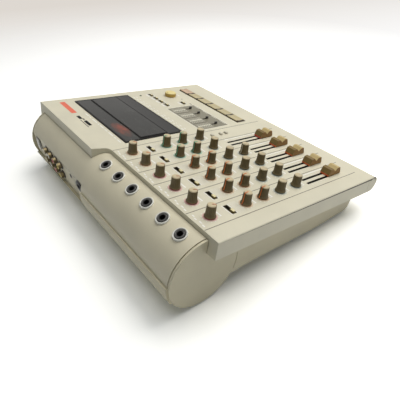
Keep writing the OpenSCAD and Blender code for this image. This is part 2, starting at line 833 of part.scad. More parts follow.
module meter_panel() color([0.5, 0.5, 0.48]) seated() difference() {
    box([meter_x + seat_gap, meter_x + meter_w - seat_gap],
        [-meter_v - meter_d + seat_gap, -meter_v - seat_gap], [-meter_t, 0]);
    for (p = record_at) slot_at(p, record_slot);
}

// ---- Cassette deck ----

module door_profile() {
    translate([hinge_y, hinge_z]) circle(d = door_t, $fn = 64);
    translate([-door_v - door_d, door_top - door_t]) square([door_d - door_t / 2, door_t]);
}

// The raised window's outline, drawn in by i.
module window_box(i, z0, z1)
    box([reel_x - window_w / 2 + i, reel_x + window_w / 2 - i],
        [-window_v - window_d + i, -window_v - i], [z0, z1]);

module cassette_door() color([0.25, 0.26, 0.28, 0.85]) seated() {
    difference() {
        union() {
            along_x(door_x, door_x1) door_profile();
            window_box(0, 0, door_top + window_h);
        }
        box([door_x + door_rim, door_x1 - door_rim], [-door_v - door_d + door_rim, hinge_y - door_t / 2],
            [-far, door_top - door_skin]);
        window_box(door_rim, -far, door_top + window_h - door_skin);
    }
    for (x = [door_x - door_gap - well_wall + seam_gap, door_x1 - seam_gap])
        along_x(x, x + door_gap + well_wall) translate([hinge_y, hinge_z]) circle(d = hinge_pin_d);
}

module well_hole(grow, z0, z1)
    box([well_x - grow, well_x + well_w + grow], [well_y0 - grow, well_y1 + grow], [z0, z1]);

module transport_chassis() color([0.13, 0.13, 0.14]) seated() {
    difference() {
        union() {
            door_frame(door_gap + well_wall, -well_drop - tray_t, -well_drop);
            well_hole(tray_t, -plate_drop - tray_t, -well_drop);
        }
        well_hole(0, -plate_drop, cut);
    }
    box([well_x, well_x + well_w - 4], [-key_rod_v - key_bracket[1] / 2, well_y1],
        [-plate_drop - tray_t, -plate_drop - sunk]);
    box([well_x, well_x + well_w], [-cassette_front + cassette_d - 4, well_y1 + sunk],
        [-plate_drop - sunk, -cassette_bottom]);
    for (side = [-1, 1]) {
        translate([reel_x + side * reel_pitch / 2, -reel_v, -plate_drop - sunk])
            cylinder(d = spindle_pin_d, h = plate_drop - spindle_top - spindle_tip_h);
        translate([reel_x + side * locator_x, -cassette_front + 10, -plate_drop - sunk]) {
            cylinder(d = locator_d, h = plate_drop - cassette_bottom);
            cylinder(d = locator_d / 2, h = plate_drop - cassette_bottom + 5);
        }
    }
    translate([capstan_x, -capstan_v, -plate_drop - sunk])
        cylinder(d = capstan_d, h = plate_drop - spindle_top);
    drive_train();
    key_frame();
}

// Motor and flywheel under the mechanism plate.
module drive_train() {
    translate([reel_x - motor_x, -motor_v, -plate_drop - tray_t]) mirror([0, 0, 1]) {
        translate([0, 0, -sunk]) cylinder(d = motor_d, h = motor_h);
        cylinder(d = motor_pulley[0], h = motor_pulley[1]);
    }
    translate([capstan_x, -capstan_v, -plate_drop - tray_t]) mirror([0, 0, 1]) {
        translate([0, 0, -sunk]) cylinder(d = 2 * spindle_tip_d, h = flywheel_drop + flywheel_h / 2);
        translate([0, 0, flywheel_drop]) cylinder(d = flywheel_d, h = flywheel_h);
    }
}

// Two brackets that carry the rod on which the keys turn.
module key_frame() {
    x0 = keys_x - key_bracket_out - key_bracket[0];
    x1 = keys_x + keys_w + key_bracket_out + key_bracket[0];
    y = [-key_rod_v - key_bracket[1] / 2, -key_rod_v + key_bracket[1] / 2];
    for (x = [x0, x1 - key_bracket[0]])
        box([x, x + key_bracket[0]], y, [-plate_drop - sunk, key_rod_d - key_rod_drop]);
    box([x0, well_x + cut], y, [-plate_drop - tray_t, -plate_drop]);
    box([well_x + well_w - 4 - cut, x1], y, [-plate_drop - tray_t, -plate_drop]);
    along_x(x0 + cut, x1 - cut) translate([-key_rod_v, -key_rod_drop]) circle(d = key_rod_d);
}

module spindle(side) color([0.85, 0.85, 0.82]) seated()
    translate([reel_x + side * reel_pitch / 2, -reel_v, -plate_drop + run_gap]) difference() {
        shank_h = plate_drop - spindle_top - spindle_tip_h;
        union() {
            cylinder(d = spindle_table[0], h = spindle_table[1]);
            cylinder(d = spindle_d, h = shank_h);
            translate([0, 0, shank_h]) cylinder(d1 = spindle_d, d2 = spindle_tip_d, h = spindle_tip_h);
            for (a = [0:60:300]) rotate(a) translate([spindle_d / 2 - 1, -spindle_rib[1] / 2, spindle_d / 2])
                cube([spindle_rib[0], spindle_rib[1], shank_h - spindle_d / 2 - seam_gap]);
        }
        translate([0, 0, -cut]) cylinder(d = spindle_pin_d + 2 * pivot_gap, h = shank_h + cut);
    }

module head_block() color([0.6, 0.6, 0.6]) seated() {
    z0 = -plate_drop + run_gap;
    head_y = [-head_front - head_d, -head_front];
    box(head_plate_x, [head_plate_front, -head_front - 2], [z0, z0 + head_plate_t]);
    box([reel_x - head_w / 2, reel_x + head_w / 2], head_y, [z0 + sunk, -spindle_top]);
    box([reel_x - erase_x - erase_w / 2, reel_x - erase_x + erase_w / 2],
        [head_y[0], head_y[1] - seam_gap], [z0 + sunk, -spindle_top]);
    translate([capstan_x, -roller_v, z0 + sunk]) {
        cylinder(d = roller_d / 3, h = plate_drop - spindle_top - run_gap);
        translate([0, 0, head_plate_t + 2 * seam_gap]) cylinder(d = roller_d, h = roller_h);
    }
}

module key(k) color(k[1] == 5 ? [0.62, 0.45, 0.38] : [0.66, 0.6, 0.47]) seated()
    translate([keys_x + k[1] * key_pitch, 0, 0]) {
        mid = key_w / 2;
        along_x(0, key_w) polygon([
            [-key_v - key_d, -key_rod_drop], [-key_v - key_d, key_top - key_round / 2 - key_bevel[1]],
            [-key_v - key_d + key_bevel[0], key_top - key_round / 2],
            [-key_v - key_d / 2, key_top - key_dish], [-key_v - key_round, key_top],
            [-key_v, key_top - key_round], [-key_v, -key_rod_drop]
        ]);
        difference() {
            along_x(mid - key_arm_w / 2, mid + key_arm_w / 2) union() {
                translate([-key_v - 2 * key_arm_t, -key_rod_drop - key_arm_t / 2])
                    square([key_v + 2 * key_arm_t - key_rod_v, key_arm_t]);
                translate([-key_rod_v, -key_rod_drop]) circle(d = key_hub_d);
            }
            along_x(mid - key_arm_w / 2 - cut, mid + key_arm_w / 2 + cut)
                translate([-key_rod_v, -key_rod_drop]) circle(d = key_rod_d + 2 * pivot_gap);
        }
    }

// ---- Sockets ----

// A quarter inch jack: nut, bushing and body, with the chamber of its contacts at the bore's end.
module jack() {
    difference() {
        union() {
            cylinder(d = jack_nut_d, h = jack_nut_h);
            translate([0, 0, -wall - cut]) cylinder(d = jack_bush_d, h = wall + 2 * cut);
            translate([-jack_body[0] / 2, -jack_body[1] / 2, -wall - jack_body_gap - jack_body[2]])
                cube(jack_body);
        }
        translate([0, 0, jack_nut_h - jack_l]) cylinder(r = jack_r, h = jack_l + cut);
        translate([0, 0, jack_nut_h - jack_l - jack_chamber[1]])
            cylinder(r = jack_r + jack_chamber[0], h = jack_chamber[1]);
    }
}

module input_jacks() color([0.12, 0.12, 0.12]) seated() {
    for (x = input_x) on_barrel(x) jack();
    on_facet(phones_at) jack();
}

module bezel_ring() {
    inner = jack_nut_d / 2 + run_gap;
    rotate_extrude() polygon([
        [inner, -ring_h], [ring_d / 2, -ring_h], [ring_d / 2, ring_h - ring_edge],
        [ring_d / 2 - ring_edge, ring_h], [inner + ring_edge, ring_h], [inner, ring_h - ring_edge]
    ]);
}

module jack_rings() color([0.86, 0.85, 0.8]) seated() {
    difference() {
        for (x = input_x) on_barrel(x) bezel_ring();
        along_x(0, case_w) barrel_disc(barrel_r);
    }
    difference() {
        on_facet(phones_at) bezel_ring();
        on_facet([0, -far], -far) cube([case_w, 2 * far, far]);
    }
}

module rear_sockets() color([0.1, 0.1, 0.1]) seated() {
    phono_block();
    on_facet(remote_at, -wall - run_gap - remote_l) difference() {
        union() {
            translate([-remote_body / 2, -remote_body / 2, 0]) cube([remote_body, remote_body, remote_l]);
            cylinder(d = remote_bush_d, h = remote_l + wall + 2 * run_gap);
        }
        translate([0, 0, wall + seam_gap]) cylinder(d = remote_d, h = far);
    }
    on_facet(inlet_at, -wall - run_gap - inlet_body) difference() {
        union() {
            translate([-inlet_body / 2, -inlet_body / 2, 0]) cube(inlet_body);
            cylinder(d = inlet_face_d, h = inlet_body + wall + run_gap);
        }
        translate([0, 0, inlet_body / 3]) difference() {
            cylinder(d = inlet_d, h = far);
            cylinder(d = inlet_pin_d, h = inlet_body * 3 / 4);
        }
    }
    on_facet(power_at, -power_deep - power_travel - run_gap) difference() {
        power_box(power_frame, -wall, power_deep + power_travel + run_gap + power_frame_out);
        power_box(run_gap, 0, far);
    }
}

// Eight phono sockets on one holder: a plated sleeve standing in a moulded collar, with its core.
module phono_block() {
    on_facet([phono_x - phono_block_margin, phono_rows[0] - 5], -wall - run_gap - phono_block_h)
        cube([3 * phono_pitch + 2 * phono_block_margin, phono_rows[1] - phono_rows[0] + 12, phono_block_h]);
    difference() {
        phono_places() {
            translate([0, 0, -wall - run_gap - sunk])
                cylinder(d = collar_d, h = wall + run_gap + sunk + collar_h);
            cylinder(d = phono_d, h = phono_l);
        }
        phono_places() translate([0, 0, -wall]) cylinder(d = phono_core_d, h = phono_l + wall + cut);
        phono_places() translate([0, 0, phono_l - phono_lip])
            cylinder(d = phono_d - 2 * phono_rim, h = phono_lip + cut);
    }
}

module power_button() color([0.75, 0.73, 0.68]) seated()
    on_facet(power_at) power_box(0, -power_deep, power_out);

top_case();
rear_cover();
lower_case();
meter_panel();
circuit_boards();
transport_chassis();
head_block();
spindle(-1);  // spindle_left
spindle(1);  // spindle_right
cassette_door();
input_jacks();
jack_rings();
rear_sockets();
power_button();
pitch_knob();
input_switches();
deck_switches();
record_switches();
monitor_buttons();
feet();
screws();
for (k = KEYS) key(k);
for (f = FADERS) fader(f);
for (k = KNOBS) knob(k);
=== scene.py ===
"""Four track cassette recorder: materials, printed marks, dressed controls, light and camera."""

import json
import math

import bmesh
import bpy
from mathutils import Matrix, Quaternion, Vector


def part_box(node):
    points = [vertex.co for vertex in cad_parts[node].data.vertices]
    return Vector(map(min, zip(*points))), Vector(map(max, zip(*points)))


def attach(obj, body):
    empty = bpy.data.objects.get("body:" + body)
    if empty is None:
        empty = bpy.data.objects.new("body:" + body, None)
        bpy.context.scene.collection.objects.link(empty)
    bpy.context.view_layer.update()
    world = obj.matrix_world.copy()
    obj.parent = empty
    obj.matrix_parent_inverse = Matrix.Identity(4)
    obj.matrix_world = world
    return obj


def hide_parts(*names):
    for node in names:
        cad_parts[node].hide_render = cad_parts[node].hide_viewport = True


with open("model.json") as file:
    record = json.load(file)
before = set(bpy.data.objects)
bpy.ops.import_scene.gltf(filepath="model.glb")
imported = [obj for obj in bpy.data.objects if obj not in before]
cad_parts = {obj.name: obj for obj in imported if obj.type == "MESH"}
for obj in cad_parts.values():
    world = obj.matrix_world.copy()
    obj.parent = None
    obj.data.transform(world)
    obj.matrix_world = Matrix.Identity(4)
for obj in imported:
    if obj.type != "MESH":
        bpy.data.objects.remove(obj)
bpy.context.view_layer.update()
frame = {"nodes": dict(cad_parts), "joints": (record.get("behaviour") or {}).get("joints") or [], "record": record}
NODES = frame["nodes"]
JOINTS = {joint["child"]: joint for joint in frame["joints"]}
SLOT_OF = {part["node"]: part["material_slot"] for part in frame["record"]["subparts"]}
MM = 0.001

# ---------------------------------------------------------------- the sloping panel's frame

STRIPS = 6
CHANNELS = 4
TRIM_ROW = 18.8
ROWS = ("trim", "treble", "bass", "effect", "pan")
KEYS = ("key_pause", "key_stop", "key_forward", "key_rewind", "key_play", "key_record")
FADERS = ("fader_1", "fader_2", "fader_3", "fader_4", "fader_master")

panel_up = Vector(JOINTS["trim_knob_1"]["axis"])
panel_right = Vector((1, 0, 0))
panel_rear = panel_up.cross(panel_right)


def mixer_place(node):
    """A joint's place as (u, v) in millimetres.

    u runs from the case's left side, and v from the mixer's rear edge to the front."""
    offset = Vector(JOINTS[node]["pos_m"]) - panel_origin
    return offset.dot(panel_right) / MM, -offset.dot(panel_rear) / MM


trim_place = Vector(JOINTS["trim_knob_1"]["pos_m"])
case_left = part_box("top_case")[0].x
panel_origin = (
    Vector((case_left, trim_place.y, trim_place.z)) + panel_rear * TRIM_ROW * MM
)
PANEL = Matrix((panel_right, panel_rear, panel_up)).transposed().to_4x4()
PANEL.translation = panel_origin


def on_panel(u, v, h=0.0):
    """A point given by its panel place u, v and its height h above the panel, in millimetres."""
    return PANEL @ Vector((u * MM, -v * MM, h * MM))


def node_box(node):
    """(u0, u1), (v0, v1), (h0, h1) of a CAD node in the panel's millimetres."""
    back = PANEL.inverted()
    points = [back @ vertex.co / MM for vertex in NODES[node].data.vertices]
    us = [p.x for p in points]
    vs = [-p.y for p in points]
    hs = [p.z for p in points]
    return (min(us), max(us)), (min(vs), max(vs)), (min(hs), max(hs))


strip_centres = [mixer_place(f"trim_knob_{i + 1}")[0] for i in range(STRIPS)]
strip_pitch = strip_centres[1] - strip_centres[0]
strip_left = strip_centres[0] - strip_pitch / 2

key_row_start = node_box("key_pause")[0][0]
key_pitch = mixer_place("key_stop")[0] - mixer_place("key_pause")[0]

# ---------------------------------------------------------------- materials


class Shader:
    """A node material built up step by step around one Principled BSDF."""

    def __init__(self, name):
        self.material = bpy.data.materials.new(name)
        self.material.use_nodes = True
        self.tree = self.material.node_tree
        self.bsdf = self.tree.nodes["Principled BSDF"]
        self.place = self.add("ShaderNodeTexCoord").outputs["Object"]

    def feed(self, socket, value):
        """Links a socket to another one, or sets its value."""
        if isinstance(value, bpy.types.NodeSocket):
            self.tree.links.new(value, socket)
        else:
            socket.default_value = value

    def add(self, kind, **inputs):
        """A new node; its inputs are given by name, or by number as i0, i1 and so on."""
        node = self.tree.nodes.new(kind)
        for key, value in inputs.items():
            numbered = key.startswith("i") and key[1:].isdigit()
            self.feed(node.inputs[int(key[1:]) if numbered else key], value)
        return node

    @classmethod
    def of(cls, material):
        """Goes on with a material that was made before."""
        shader = cls.__new__(cls)
        shader.material = material
        shader.tree = material.node_tree
        shader.bsdf = shader.tree.nodes["Principled BSDF"]
        shader.place = shader.add("ShaderNodeTexCoord").outputs["Object"]
        return shader

    def along(self, way):
        """How far a point lies along a direction, in metres."""
        node = self.add("ShaderNodeVectorMath", i0=self.place, i1=tuple(way))
        node.operation = "DOT_PRODUCT"
        return node.outputs["Value"]

    def soft_spot(self, centre, radii):
        """0.85 at a place on the panel, falling softly to 0 at the given radii along u and v."""
        away = self.add("ShaderNodeVectorMath", i0=self.place, i1=tuple(centre))
        away.operation = "SUBTRACT"
        terms = []
        for way, radius in ((panel_right, radii[0]), (panel_rear, radii[1])):
            scale = tuple(way / radius)
            part = self.add("ShaderNodeVectorMath", i0=away.outputs["Vector"], i1=scale)
            part.operation = "DOT_PRODUCT"
            square = self.add("ShaderNodeMath", i0=part.outputs["Value"], i1=part.outputs["Value"])
            square.operation = "MULTIPLY"
            terms.append(square.outputs[0])
        total = self.add("ShaderNodeMath", i0=terms[0], i1=terms[1])
        return self.ramp(total.outputs[0], 1.0, 0.25, 0.0, 0.85)

    def noise(self, scale, detail=2.0, rough=0.5, stretch=None):
        """Noise of 0 to 1; scale is in cycles a metre."""
        place = self.place
        if stretch:
            mapping = self.add("ShaderNodeMapping", Vector=place)
            mapping.inputs["Scale"].default_value = stretch
            place = mapping.outputs["Vector"]
        return self.add(
            "ShaderNodeTexNoise", Vector=place, Scale=scale, Detail=detail, Roughness=rough
        ).outputs["Fac"]

    def ramp(self, fac, low, high, a=0.0, b=1.0):
        """Maps fac from low..high to a..b, and holds it there outside."""
        node = self.add("ShaderNodeMapRange", Value=fac)
        for name, value in (("From Min", low), ("From Max", high), ("To Min", a), ("To Max", b)):
            node.inputs[name].default_value = value
        return node.outputs["Result"]

    def mix(self, fac, a, b):
        """Colour a where fac is 0, and b where it is 1."""
        node = self.add("ShaderNodeMix")
        node.data_type = "RGBA"
        for number, value in ((0, fac), (6, a), (7, b)):
            self.feed(node.inputs[number], value)
        return node.outputs[2]

    def bump(self, height, strength, distance):
        node = self.add("ShaderNodeBump", Height=height, Strength=strength, Distance=distance)
        return node.outputs["Normal"]

    def out(self, **sockets):
        """Sets the surface's own sockets and gives back the material."""
        names = {
            "base": "Base Color", "rough": "Roughness", "metal": "Metallic", "normal": "Normal",
            "specular": "Specular IOR Level",
        }
        for key, value in sockets.items():
            self.feed(self.bsdf.inputs[names[key]], value)
        return self.material


def rgb(red, green, blue):
    """Linear colour from display values of 0 to 255."""
    def linear(value):
        value /= 255
        return value / 12.92 if value <= 0.04045 else ((value + 0.055) / 1.055) ** 2.4
    return (linear(red), linear(green), linear(blue), 1.0)


def scaled(colour, factor):
    """The same colour, lighter or darker."""
    return (colour[0] * factor, colour[1] * factor, colour[2] * factor, 1.0)


def moulded(name, colour, rough=0.5, grain=0.25, edge_wear_and_highlight=0.12):
    """Moulded plastic: a fine grain, faint mottling, soft edges, and edges painted lighter, partly as rubbed wear
    and partly as a painted edge highlight.
    """
    s = Shader(name)
    fine = s.noise(2600, 3.0, 0.6)
    cloud = s.noise(22, 4.0, 0.55)
    speck = s.noise(900, 2.0, 0.5)
    base = s.mix(s.ramp(cloud, 0.3, 0.7), scaled(colour, 0.95), scaled(colour, 1.05))
    base = s.mix(s.ramp(speck, 0.62, 0.75, 0.0, 0.25), base, scaled(colour, 0.8))
    soft = s.add("ShaderNodeBevel", Radius=0.0006)
    soft.samples = 4
    # Edges painted lighter: partly rubbed wear, partly a painted edge highlight.
    if edge_wear_and_highlight:
        plain = s.add("ShaderNodeNewGeometry").outputs["Normal"]
        edge = s.add("ShaderNodeVectorMath", i0=soft.outputs["Normal"], i1=plain)
        edge.operation = "DOT_PRODUCT"
        rubbed_and_highlit_edges = s.ramp(edge.outputs["Value"], 0.98, 0.8, 0.0, edge_wear_and_highlight)
        base = s.mix(rubbed_and_highlit_edges, base, scaled(colour, 1.25))
    relief = s.add("ShaderNodeBump", Height=fine, Strength=grain, Distance=0.00008)
    s.tree.links.new(soft.outputs["Normal"], relief.inputs["Normal"])
    return s.out(
        base=base,
        rough=s.ramp(cloud, 0.3, 0.7, rough - 0.05, rough + 0.06),
        normal=relief.outputs["Normal"],
    )


def ink(name, colour, fade=0.12, shine=0.5):
    """Screen printed ink: slightly uneven cover over the moulded grain."""
    s = Shader(name)
    cover = s.noise(700, 3.0, 0.6)
    worn = s.noise(60, 3.0, 0.5)
    base = s.mix(s.ramp(cover, 0.35, 0.7), colour, scaled(colour, 1 - fade))
    base = s.mix(s.ramp(worn, 0.6, 0.8, 0.0, 0.35), base, scaled(colour, 1 - 2 * fade))
    return s.out(
        base=base,
        rough=s.ramp(cover, 0.3, 0.7, 0.38, 0.5),
        normal=s.bump(cover, 0.12, 0.00005),
        specular=shine,
    )


def metal(name, colour, rough=0.25):
    """Plain metal with fine scratches and cloudy tarnish."""
    s = Shader(name)
    scratch = s.noise(900, 4.0, 0.6)
    cloud = s.noise(60, 2.0)
    base = s.mix(s.ramp(cloud, 0.3, 0.7), scaled(colour, 0.88), colour)
    return s.out(
        base=base,
        metal=1.0,
        rough=s.ramp(scratch, 0.3, 0.7, rough - 0.08, rough + 0.1),
        normal=s.bump(scratch, 0.12, 0.00005),
    )


def rubber(name, colour):
    """Dull rubber with fine pores and dust."""
    s = Shader(name)
    dust = s.noise(140, 5.0, 0.65)
    pores = s.noise(3200, 2.0)
    base = s.mix(s.ramp(dust, 0.45, 0.75), colour, scaled(colour, 2.2))
    return s.out(
        base=base,
        rough=s.ramp(dust, 0.3, 0.7, 0.75, 0.92),
        normal=s.bump(pores, 0.3, 0.0001),
    )


def smoked(name, colour, rough, smudge=0.1):
    """Dark glossy acrylic with faint smears, painted shade that darkens it towards its front edge, and an orange
    label that shows dully at one corner.
    """
    s = Shader(name)
    smear = s.noise(52, 5.0, 0.62, (1.0, 1.6, 1.0))
    patch = s.noise(16, 3.0, 0.5)
    toward_rear = s.along(panel_rear)
    front, rear = (on_panel(0, v).dot(panel_rear) for v in DOOR_SHADE_V)
    base = s.mix(s.ramp(patch, 0.35, 0.7), scaled(colour, 0.8), scaled(colour, 1.25))
    base = s.mix(s.ramp(smear, 0.55, 0.66, 0.0, 0.5), base, scaled(colour, 2.2))
    # Painted shade: the door grows darker towards its front edge.
    base = s.mix(s.ramp(toward_rear, front, rear), scaled(colour, 0.35), base)
    label = s.soft_spot(on_panel(*LABEL_AT), LABEL_REACH)
    base = s.mix(label, base, s.mix(s.ramp(smear, 0.42, 0.6), rgb(140, 62, 40), rgb(84, 56, 46)))
    soft = s.add("ShaderNodeBevel", Radius=0.0005)
    soft.samples = 4
    return s.out(
        base=base,
        rough=s.ramp(smear, 0.4, 0.65, rough, rough + smudge),
        normal=soft.outputs["Normal"],
        specular=0.2,
    )


def key_plastic(name, colour):
    """A moulded key: its two ends are painted dark, as painted shade of the gaps where it meets the next key."""
    material = moulded(name, colour, rough=0.42, edge_wear_and_highlight=0.2)
    s = Shader.of(material)
    start = on_panel(key_row_start, 0).dot(panel_right)
    step = s.ramp(s.along(panel_right), start, start + key_pitch * MM)
    step.node.clamp = False
    part = s.add("ShaderNodeMath", i0=step)
    part.operation = "FRACT"
    face = s.bsdf.inputs["Base Color"].links[0].from_socket
    # Painted shade: dark bands at each end of a key for the shaded gap between keys.
    gap_shaded_ends = s.mix(s.ramp(part.outputs[0], 0.11, 0.07), face, rgb(44, 36, 24))
    gap_shaded_ends = s.mix(s.ramp(part.outputs[0], 0.92, 0.95), gap_shaded_ends, rgb(44, 36, 24))
    return s.out(base=gap_shaded_ends)


LABEL_AT = (242, 38.5)
LABEL_REACH = (25 * MM, 10 * MM)
DOOR_SHADE_V = (104, 84)
BODY = rgb(216, 210, 187)
BARREL = rgb(212, 204, 178)
UNDER = rgb(206, 198, 170)
CREAM = rgb(200, 184, 148)
OLIVE = rgb(90, 76, 40)

TINTS = {
    "red": rgb(158, 62, 66),
    "amber": rgb(148, 96, 52),
    "blue": rgb(80, 86, 76),
    "green": rgb(58, 112, 86),
}
POINTERS = {
    "red": rgb(190, 128, 104),
    "amber": rgb(226, 118, 52),
    "blue": rgb(196, 192, 172),
    "green": rgb(96, 186, 150),
}
HALOS = {
    "red": rgb(222, 184, 174),
    "amber": rgb(226, 204, 172),
    "blue": rgb(200, 204, 190),
    "green": rgb(178, 206, 184),
}

MATERIALS = {
    "top_plastic": moulded("top_plastic", BODY, rough=0.5),
    "cover_plastic": moulded("cover_plastic", BARREL, rough=0.46),
    "lower_plastic": moulded("lower_plastic", UNDER, rough=0.52),
    "meter_plastic": moulded("meter_plastic", rgb(124, 119, 100), rough=0.35, grain=0.1, edge_wear_and_highlight=0.0),
    "chassis_paint": moulded("chassis_paint", rgb(34, 34, 36), rough=0.45, edge_wear_and_highlight=0.2),
    "head_metal": metal("head_metal", rgb(190, 190, 188), 0.28),
    "spindle_plastic": moulded("spindle_plastic", rgb(210, 208, 202), rough=0.35),
    "door_plastic": smoked("door_plastic", rgb(44, 44, 42), 0.16),
    "ring_plastic": moulded("ring_plastic", rgb(226, 224, 214), rough=0.42),
    "button_plastic": moulded("button_plastic", rgb(206, 203, 194), rough=0.42),
    "pitch_plastic": moulded("pitch_plastic", rgb(232, 214, 142), rough=0.4),
    "switch_cream": moulded("switch_cream", rgb(228, 216, 168), rough=0.4),
    "switch_black": moulded("switch_black", rgb(40, 38, 34), rough=0.4),
    "monitor_plastic": moulded("monitor_plastic", rgb(196, 190, 172), rough=0.45),
    "foot_rubber": rubber("foot_rubber", rgb(34, 34, 34)),
    "screw_steel": metal("screw_steel", rgb(176, 176, 178), 0.3),
    "key_tan": key_plastic("key_tan", rgb(190, 176, 134)),
    "key_rose": key_plastic("key_rose", rgb(200, 168, 138)),
    "fader_tan": moulded("fader_tan", rgb(190, 168, 112), rough=0.5, edge_wear_and_highlight=0.3),
    "fader_red": moulded("fader_red", rgb(190, 168, 112), rough=0.5, edge_wear_and_highlight=0.3),
}
BLACK_PLASTIC = moulded("black_plastic", rgb(30, 29, 28), rough=0.35, edge_wear_and_highlight=0.2)
BOARD = moulded("board_laminate", rgb(70, 104, 66), rough=0.4, grain=0.1, edge_wear_and_highlight=0.0)
# Painted shade: near black for the tops of the bodies under the slots and for the fader legs.
SHADE_UNDER_SLOTS = moulded("dark_body", rgb(26, 25, 22), rough=0.6, grain=0.2, edge_wear_and_highlight=0.0)
# Painted shade for the slots' walls.
PAINTED_SLOT_SHADE = moulded("slot_shade", rgb(52, 46, 34), rough=0.7, grain=0.1, edge_wear_and_highlight=0.0)
# Painted shade: a darker copy of the switch colour for the switches' walls.
SWITCH_SIDE_SHADE = moulded("switch_side_painted_shade", rgb(132, 116, 70), rough=0.5, grain=0.1, edge_wear_and_highlight=0.1)
RIM_GREY = moulded("rim_grey", rgb(112, 112, 108), rough=0.3, grain=0.1, edge_wear_and_highlight=0.0)
# Painted shade: a darker copy of the key colour for the keys' sides and bodies.
KEY_SIDE_SHADE = moulded("key_side_painted_shade", rgb(78, 62, 40), rough=0.5, grain=0.2, edge_wear_and_highlight=0.2)
# Painted shade: darker copies of the fader colour for the caps' rear lobes and sides.
FADER_REAR_SHADE = moulded("fader_dark", rgb(112, 90, 38), rough=0.55, grain=0.2, edge_wear_and_highlight=0.4)
FADER_SIDE_SHADE = moulded("fader_side_painted_shade", rgb(136, 100, 46), rough=0.55, grain=0.2, edge_wear_and_highlight=0.3)
# Painted shade: a darker copy of the pitch knob colour for its walls.
PITCH_SIDE_SHADE = moulded("pitch_side_painted_shade", rgb(190, 156, 78), rough=0.5, grain=0.2, edge_wear_and_highlight=0.1)
FADER_EDGE = {
    "fader_tan": moulded("fader_edge", rgb(222, 106, 60), rough=0.42, grain=0.1, edge_wear_and_highlight=0.1),
    "fader_red": moulded("fader_edge_red", rgb(214, 62, 48), rough=0.42, grain=0.1, edge_wear_and_highlight=0.1),
}
SLEEVE = metal("sleeve_metal", rgb(128, 116, 88), 0.42)
LAMP_LENS = moulded("lamp_lens", rgb(96, 112, 74), rough=0.3, grain=0.0, edge_wear_and_highlight=0.0)
INSULATORS = [
    moulded(f"insulator_{name}", colour, rough=0.4, grain=0.1, edge_wear_and_highlight=0.0)
    for name, colour in (
        ("yellow", rgb(226, 204, 104)), ("red", rgb(206, 112, 108)),
        ("white", rgb(236, 232, 220)), ("cream", rgb(226, 216, 184)),
    )
]
WHITE_INK = ink("white_ink", rgb(244, 242, 234))
# Dark print, and painted shade of the grooves between the strips.
DARK_INK_AND_GROOVE_SHADE = ink("dark_ink_and_groove_shade", rgb(92, 84, 70))
# Black print, and painted shade in the fader slots and round the door's gaps.
BLACK_INK_AND_GAP_SHADE = ink("black_ink_and_gap_shade", rgb(14, 13, 13), shine=0.1)
# Painted shade of the switches' slots, drawn as olive frames round them.
SLOT_SHADE_INK = ink("slot_shade_painted_ink", rgb(70, 62, 36), shine=0.2)
ORANGE_INK = ink("orange_ink", rgb(232, 106, 74))
GREY_INK = ink("grey_ink", rgb(232, 228, 208))
HALO_INK = {name: ink(f"halo_{name}", colour) for name, colour in HALOS.items()}


PANEL_WALL_H = (-2.45, -0.05)
BOARD_TOP_H = -12.3
PHONES_BELOW_H = -20
MIXER_STRIPS_WIDE = 6.4
DECK_SLOTS_FROM = 115


def dress(node, *materials):
    """Gives a CAD node its materials; the first one covers it."""
    slots = NODES[node].data.materials
    slots.clear()
    for material in materials:
        slots.append(material)


for node_name, slot_name in SLOT_OF.items():
    if slot_name in MATERIALS:
        dress(node_name, MATERIALS[slot_name])


def paint(node, material, wanted):
    """Gives another material to the faces of a CAD node for which wanted(place, normal) holds.

    Both are in millimetres on the panel: u to the right, v to the front and h up."""
    mesh = NODES[node].data
    mesh.materials.append(material)
    back = PANEL.inverted()
    turn = back.to_3x3()
    for face in mesh.polygons:
        at = back @ face.center / MM
        way = turn @ face.normal
        if wanted(Vector((at.x, -at.y, at.z)), Vector((way.x, -way.y, way.z))):
            face.material_index = len(mesh.materials) - 1


def dress_keys():
    """Painted shade: the keys' sides and bodies get a darker colour than their tops."""
    for name in KEYS:
        paint(name, KEY_SIDE_SHADE, lambda at, way: abs(way.x) > 0.7 or way.y > 0.7 or at.z < 0)


def dress_faders():
    """A fader cap gets painted shade: a darker rear lobe and darker brown sides; it also has a bright lower edge,
    and its legs get near black painted shade.
    """
    for name in FADERS:
        _, (v0, v1), _ = node_box(name)
        middle = (v0 + v1) / 2
        # Painted shade on the rear lobe and the sides, and on the legs under the panel.
        paint(name, FADER_REAR_SHADE, lambda at, way: at.y < middle - 0.2)
        paint(name, FADER_SIDE_SHADE, lambda at, way: abs(way.x) > 0.7)
        paint(name, FADER_EDGE[SLOT_OF[name]], lambda at, way: 0 < at.z < 2.2 and abs(way.z) < 0.5)
        paint(name, SHADE_UNDER_SLOTS, lambda at, way: at.z < 0)


def near_any(at, places, reach_u, reach_v):
    """Whether a place lies within reach of one of the given (u, v) places."""
    return any(abs(at.x - u) < reach_u and abs(at.y - v) < reach_v for u, v in places)


def dress_openings():
    """Painted shade: the slots' walls in the panel and the tops of the bodies that stand under them get dark
    colours, for the shade inside the slots.
    """
    switch_v = sum(node_box("input_switches")[1]) / 2
    spots = [(u, switch_v) for u in strip_centres]
    faders_from = node_box("deck_switches")[1][0] - 4
    mixer_right = strip_left + MIXER_STRIPS_WIDE * strip_pitch

    def is_slot_wall(at, way):
        low, high = PANEL_WALL_H
        if not low < at.z < high or abs(way.z) >= 0.3:
            return False
        slots_from = faders_from if at.x < mixer_right else DECK_SLOTS_FROM
        return at.y > slots_from or near_any(at, spots, 7.3, 2.3)

    # Painted shade on the slots' walls.
    paint("top_case", PAINTED_SLOT_SHADE, is_slot_wall)
    dress("circuit_boards", BOARD)
    paint("circuit_boards", SHADE_UNDER_SLOTS, lambda at, way: at.z > BOARD_TOP_H)
    lamp = node_box("circuit_boards")[2][1]
    paint("circuit_boards", LAMP_LENS, lambda at, way: at.z > lamp - 2.5)


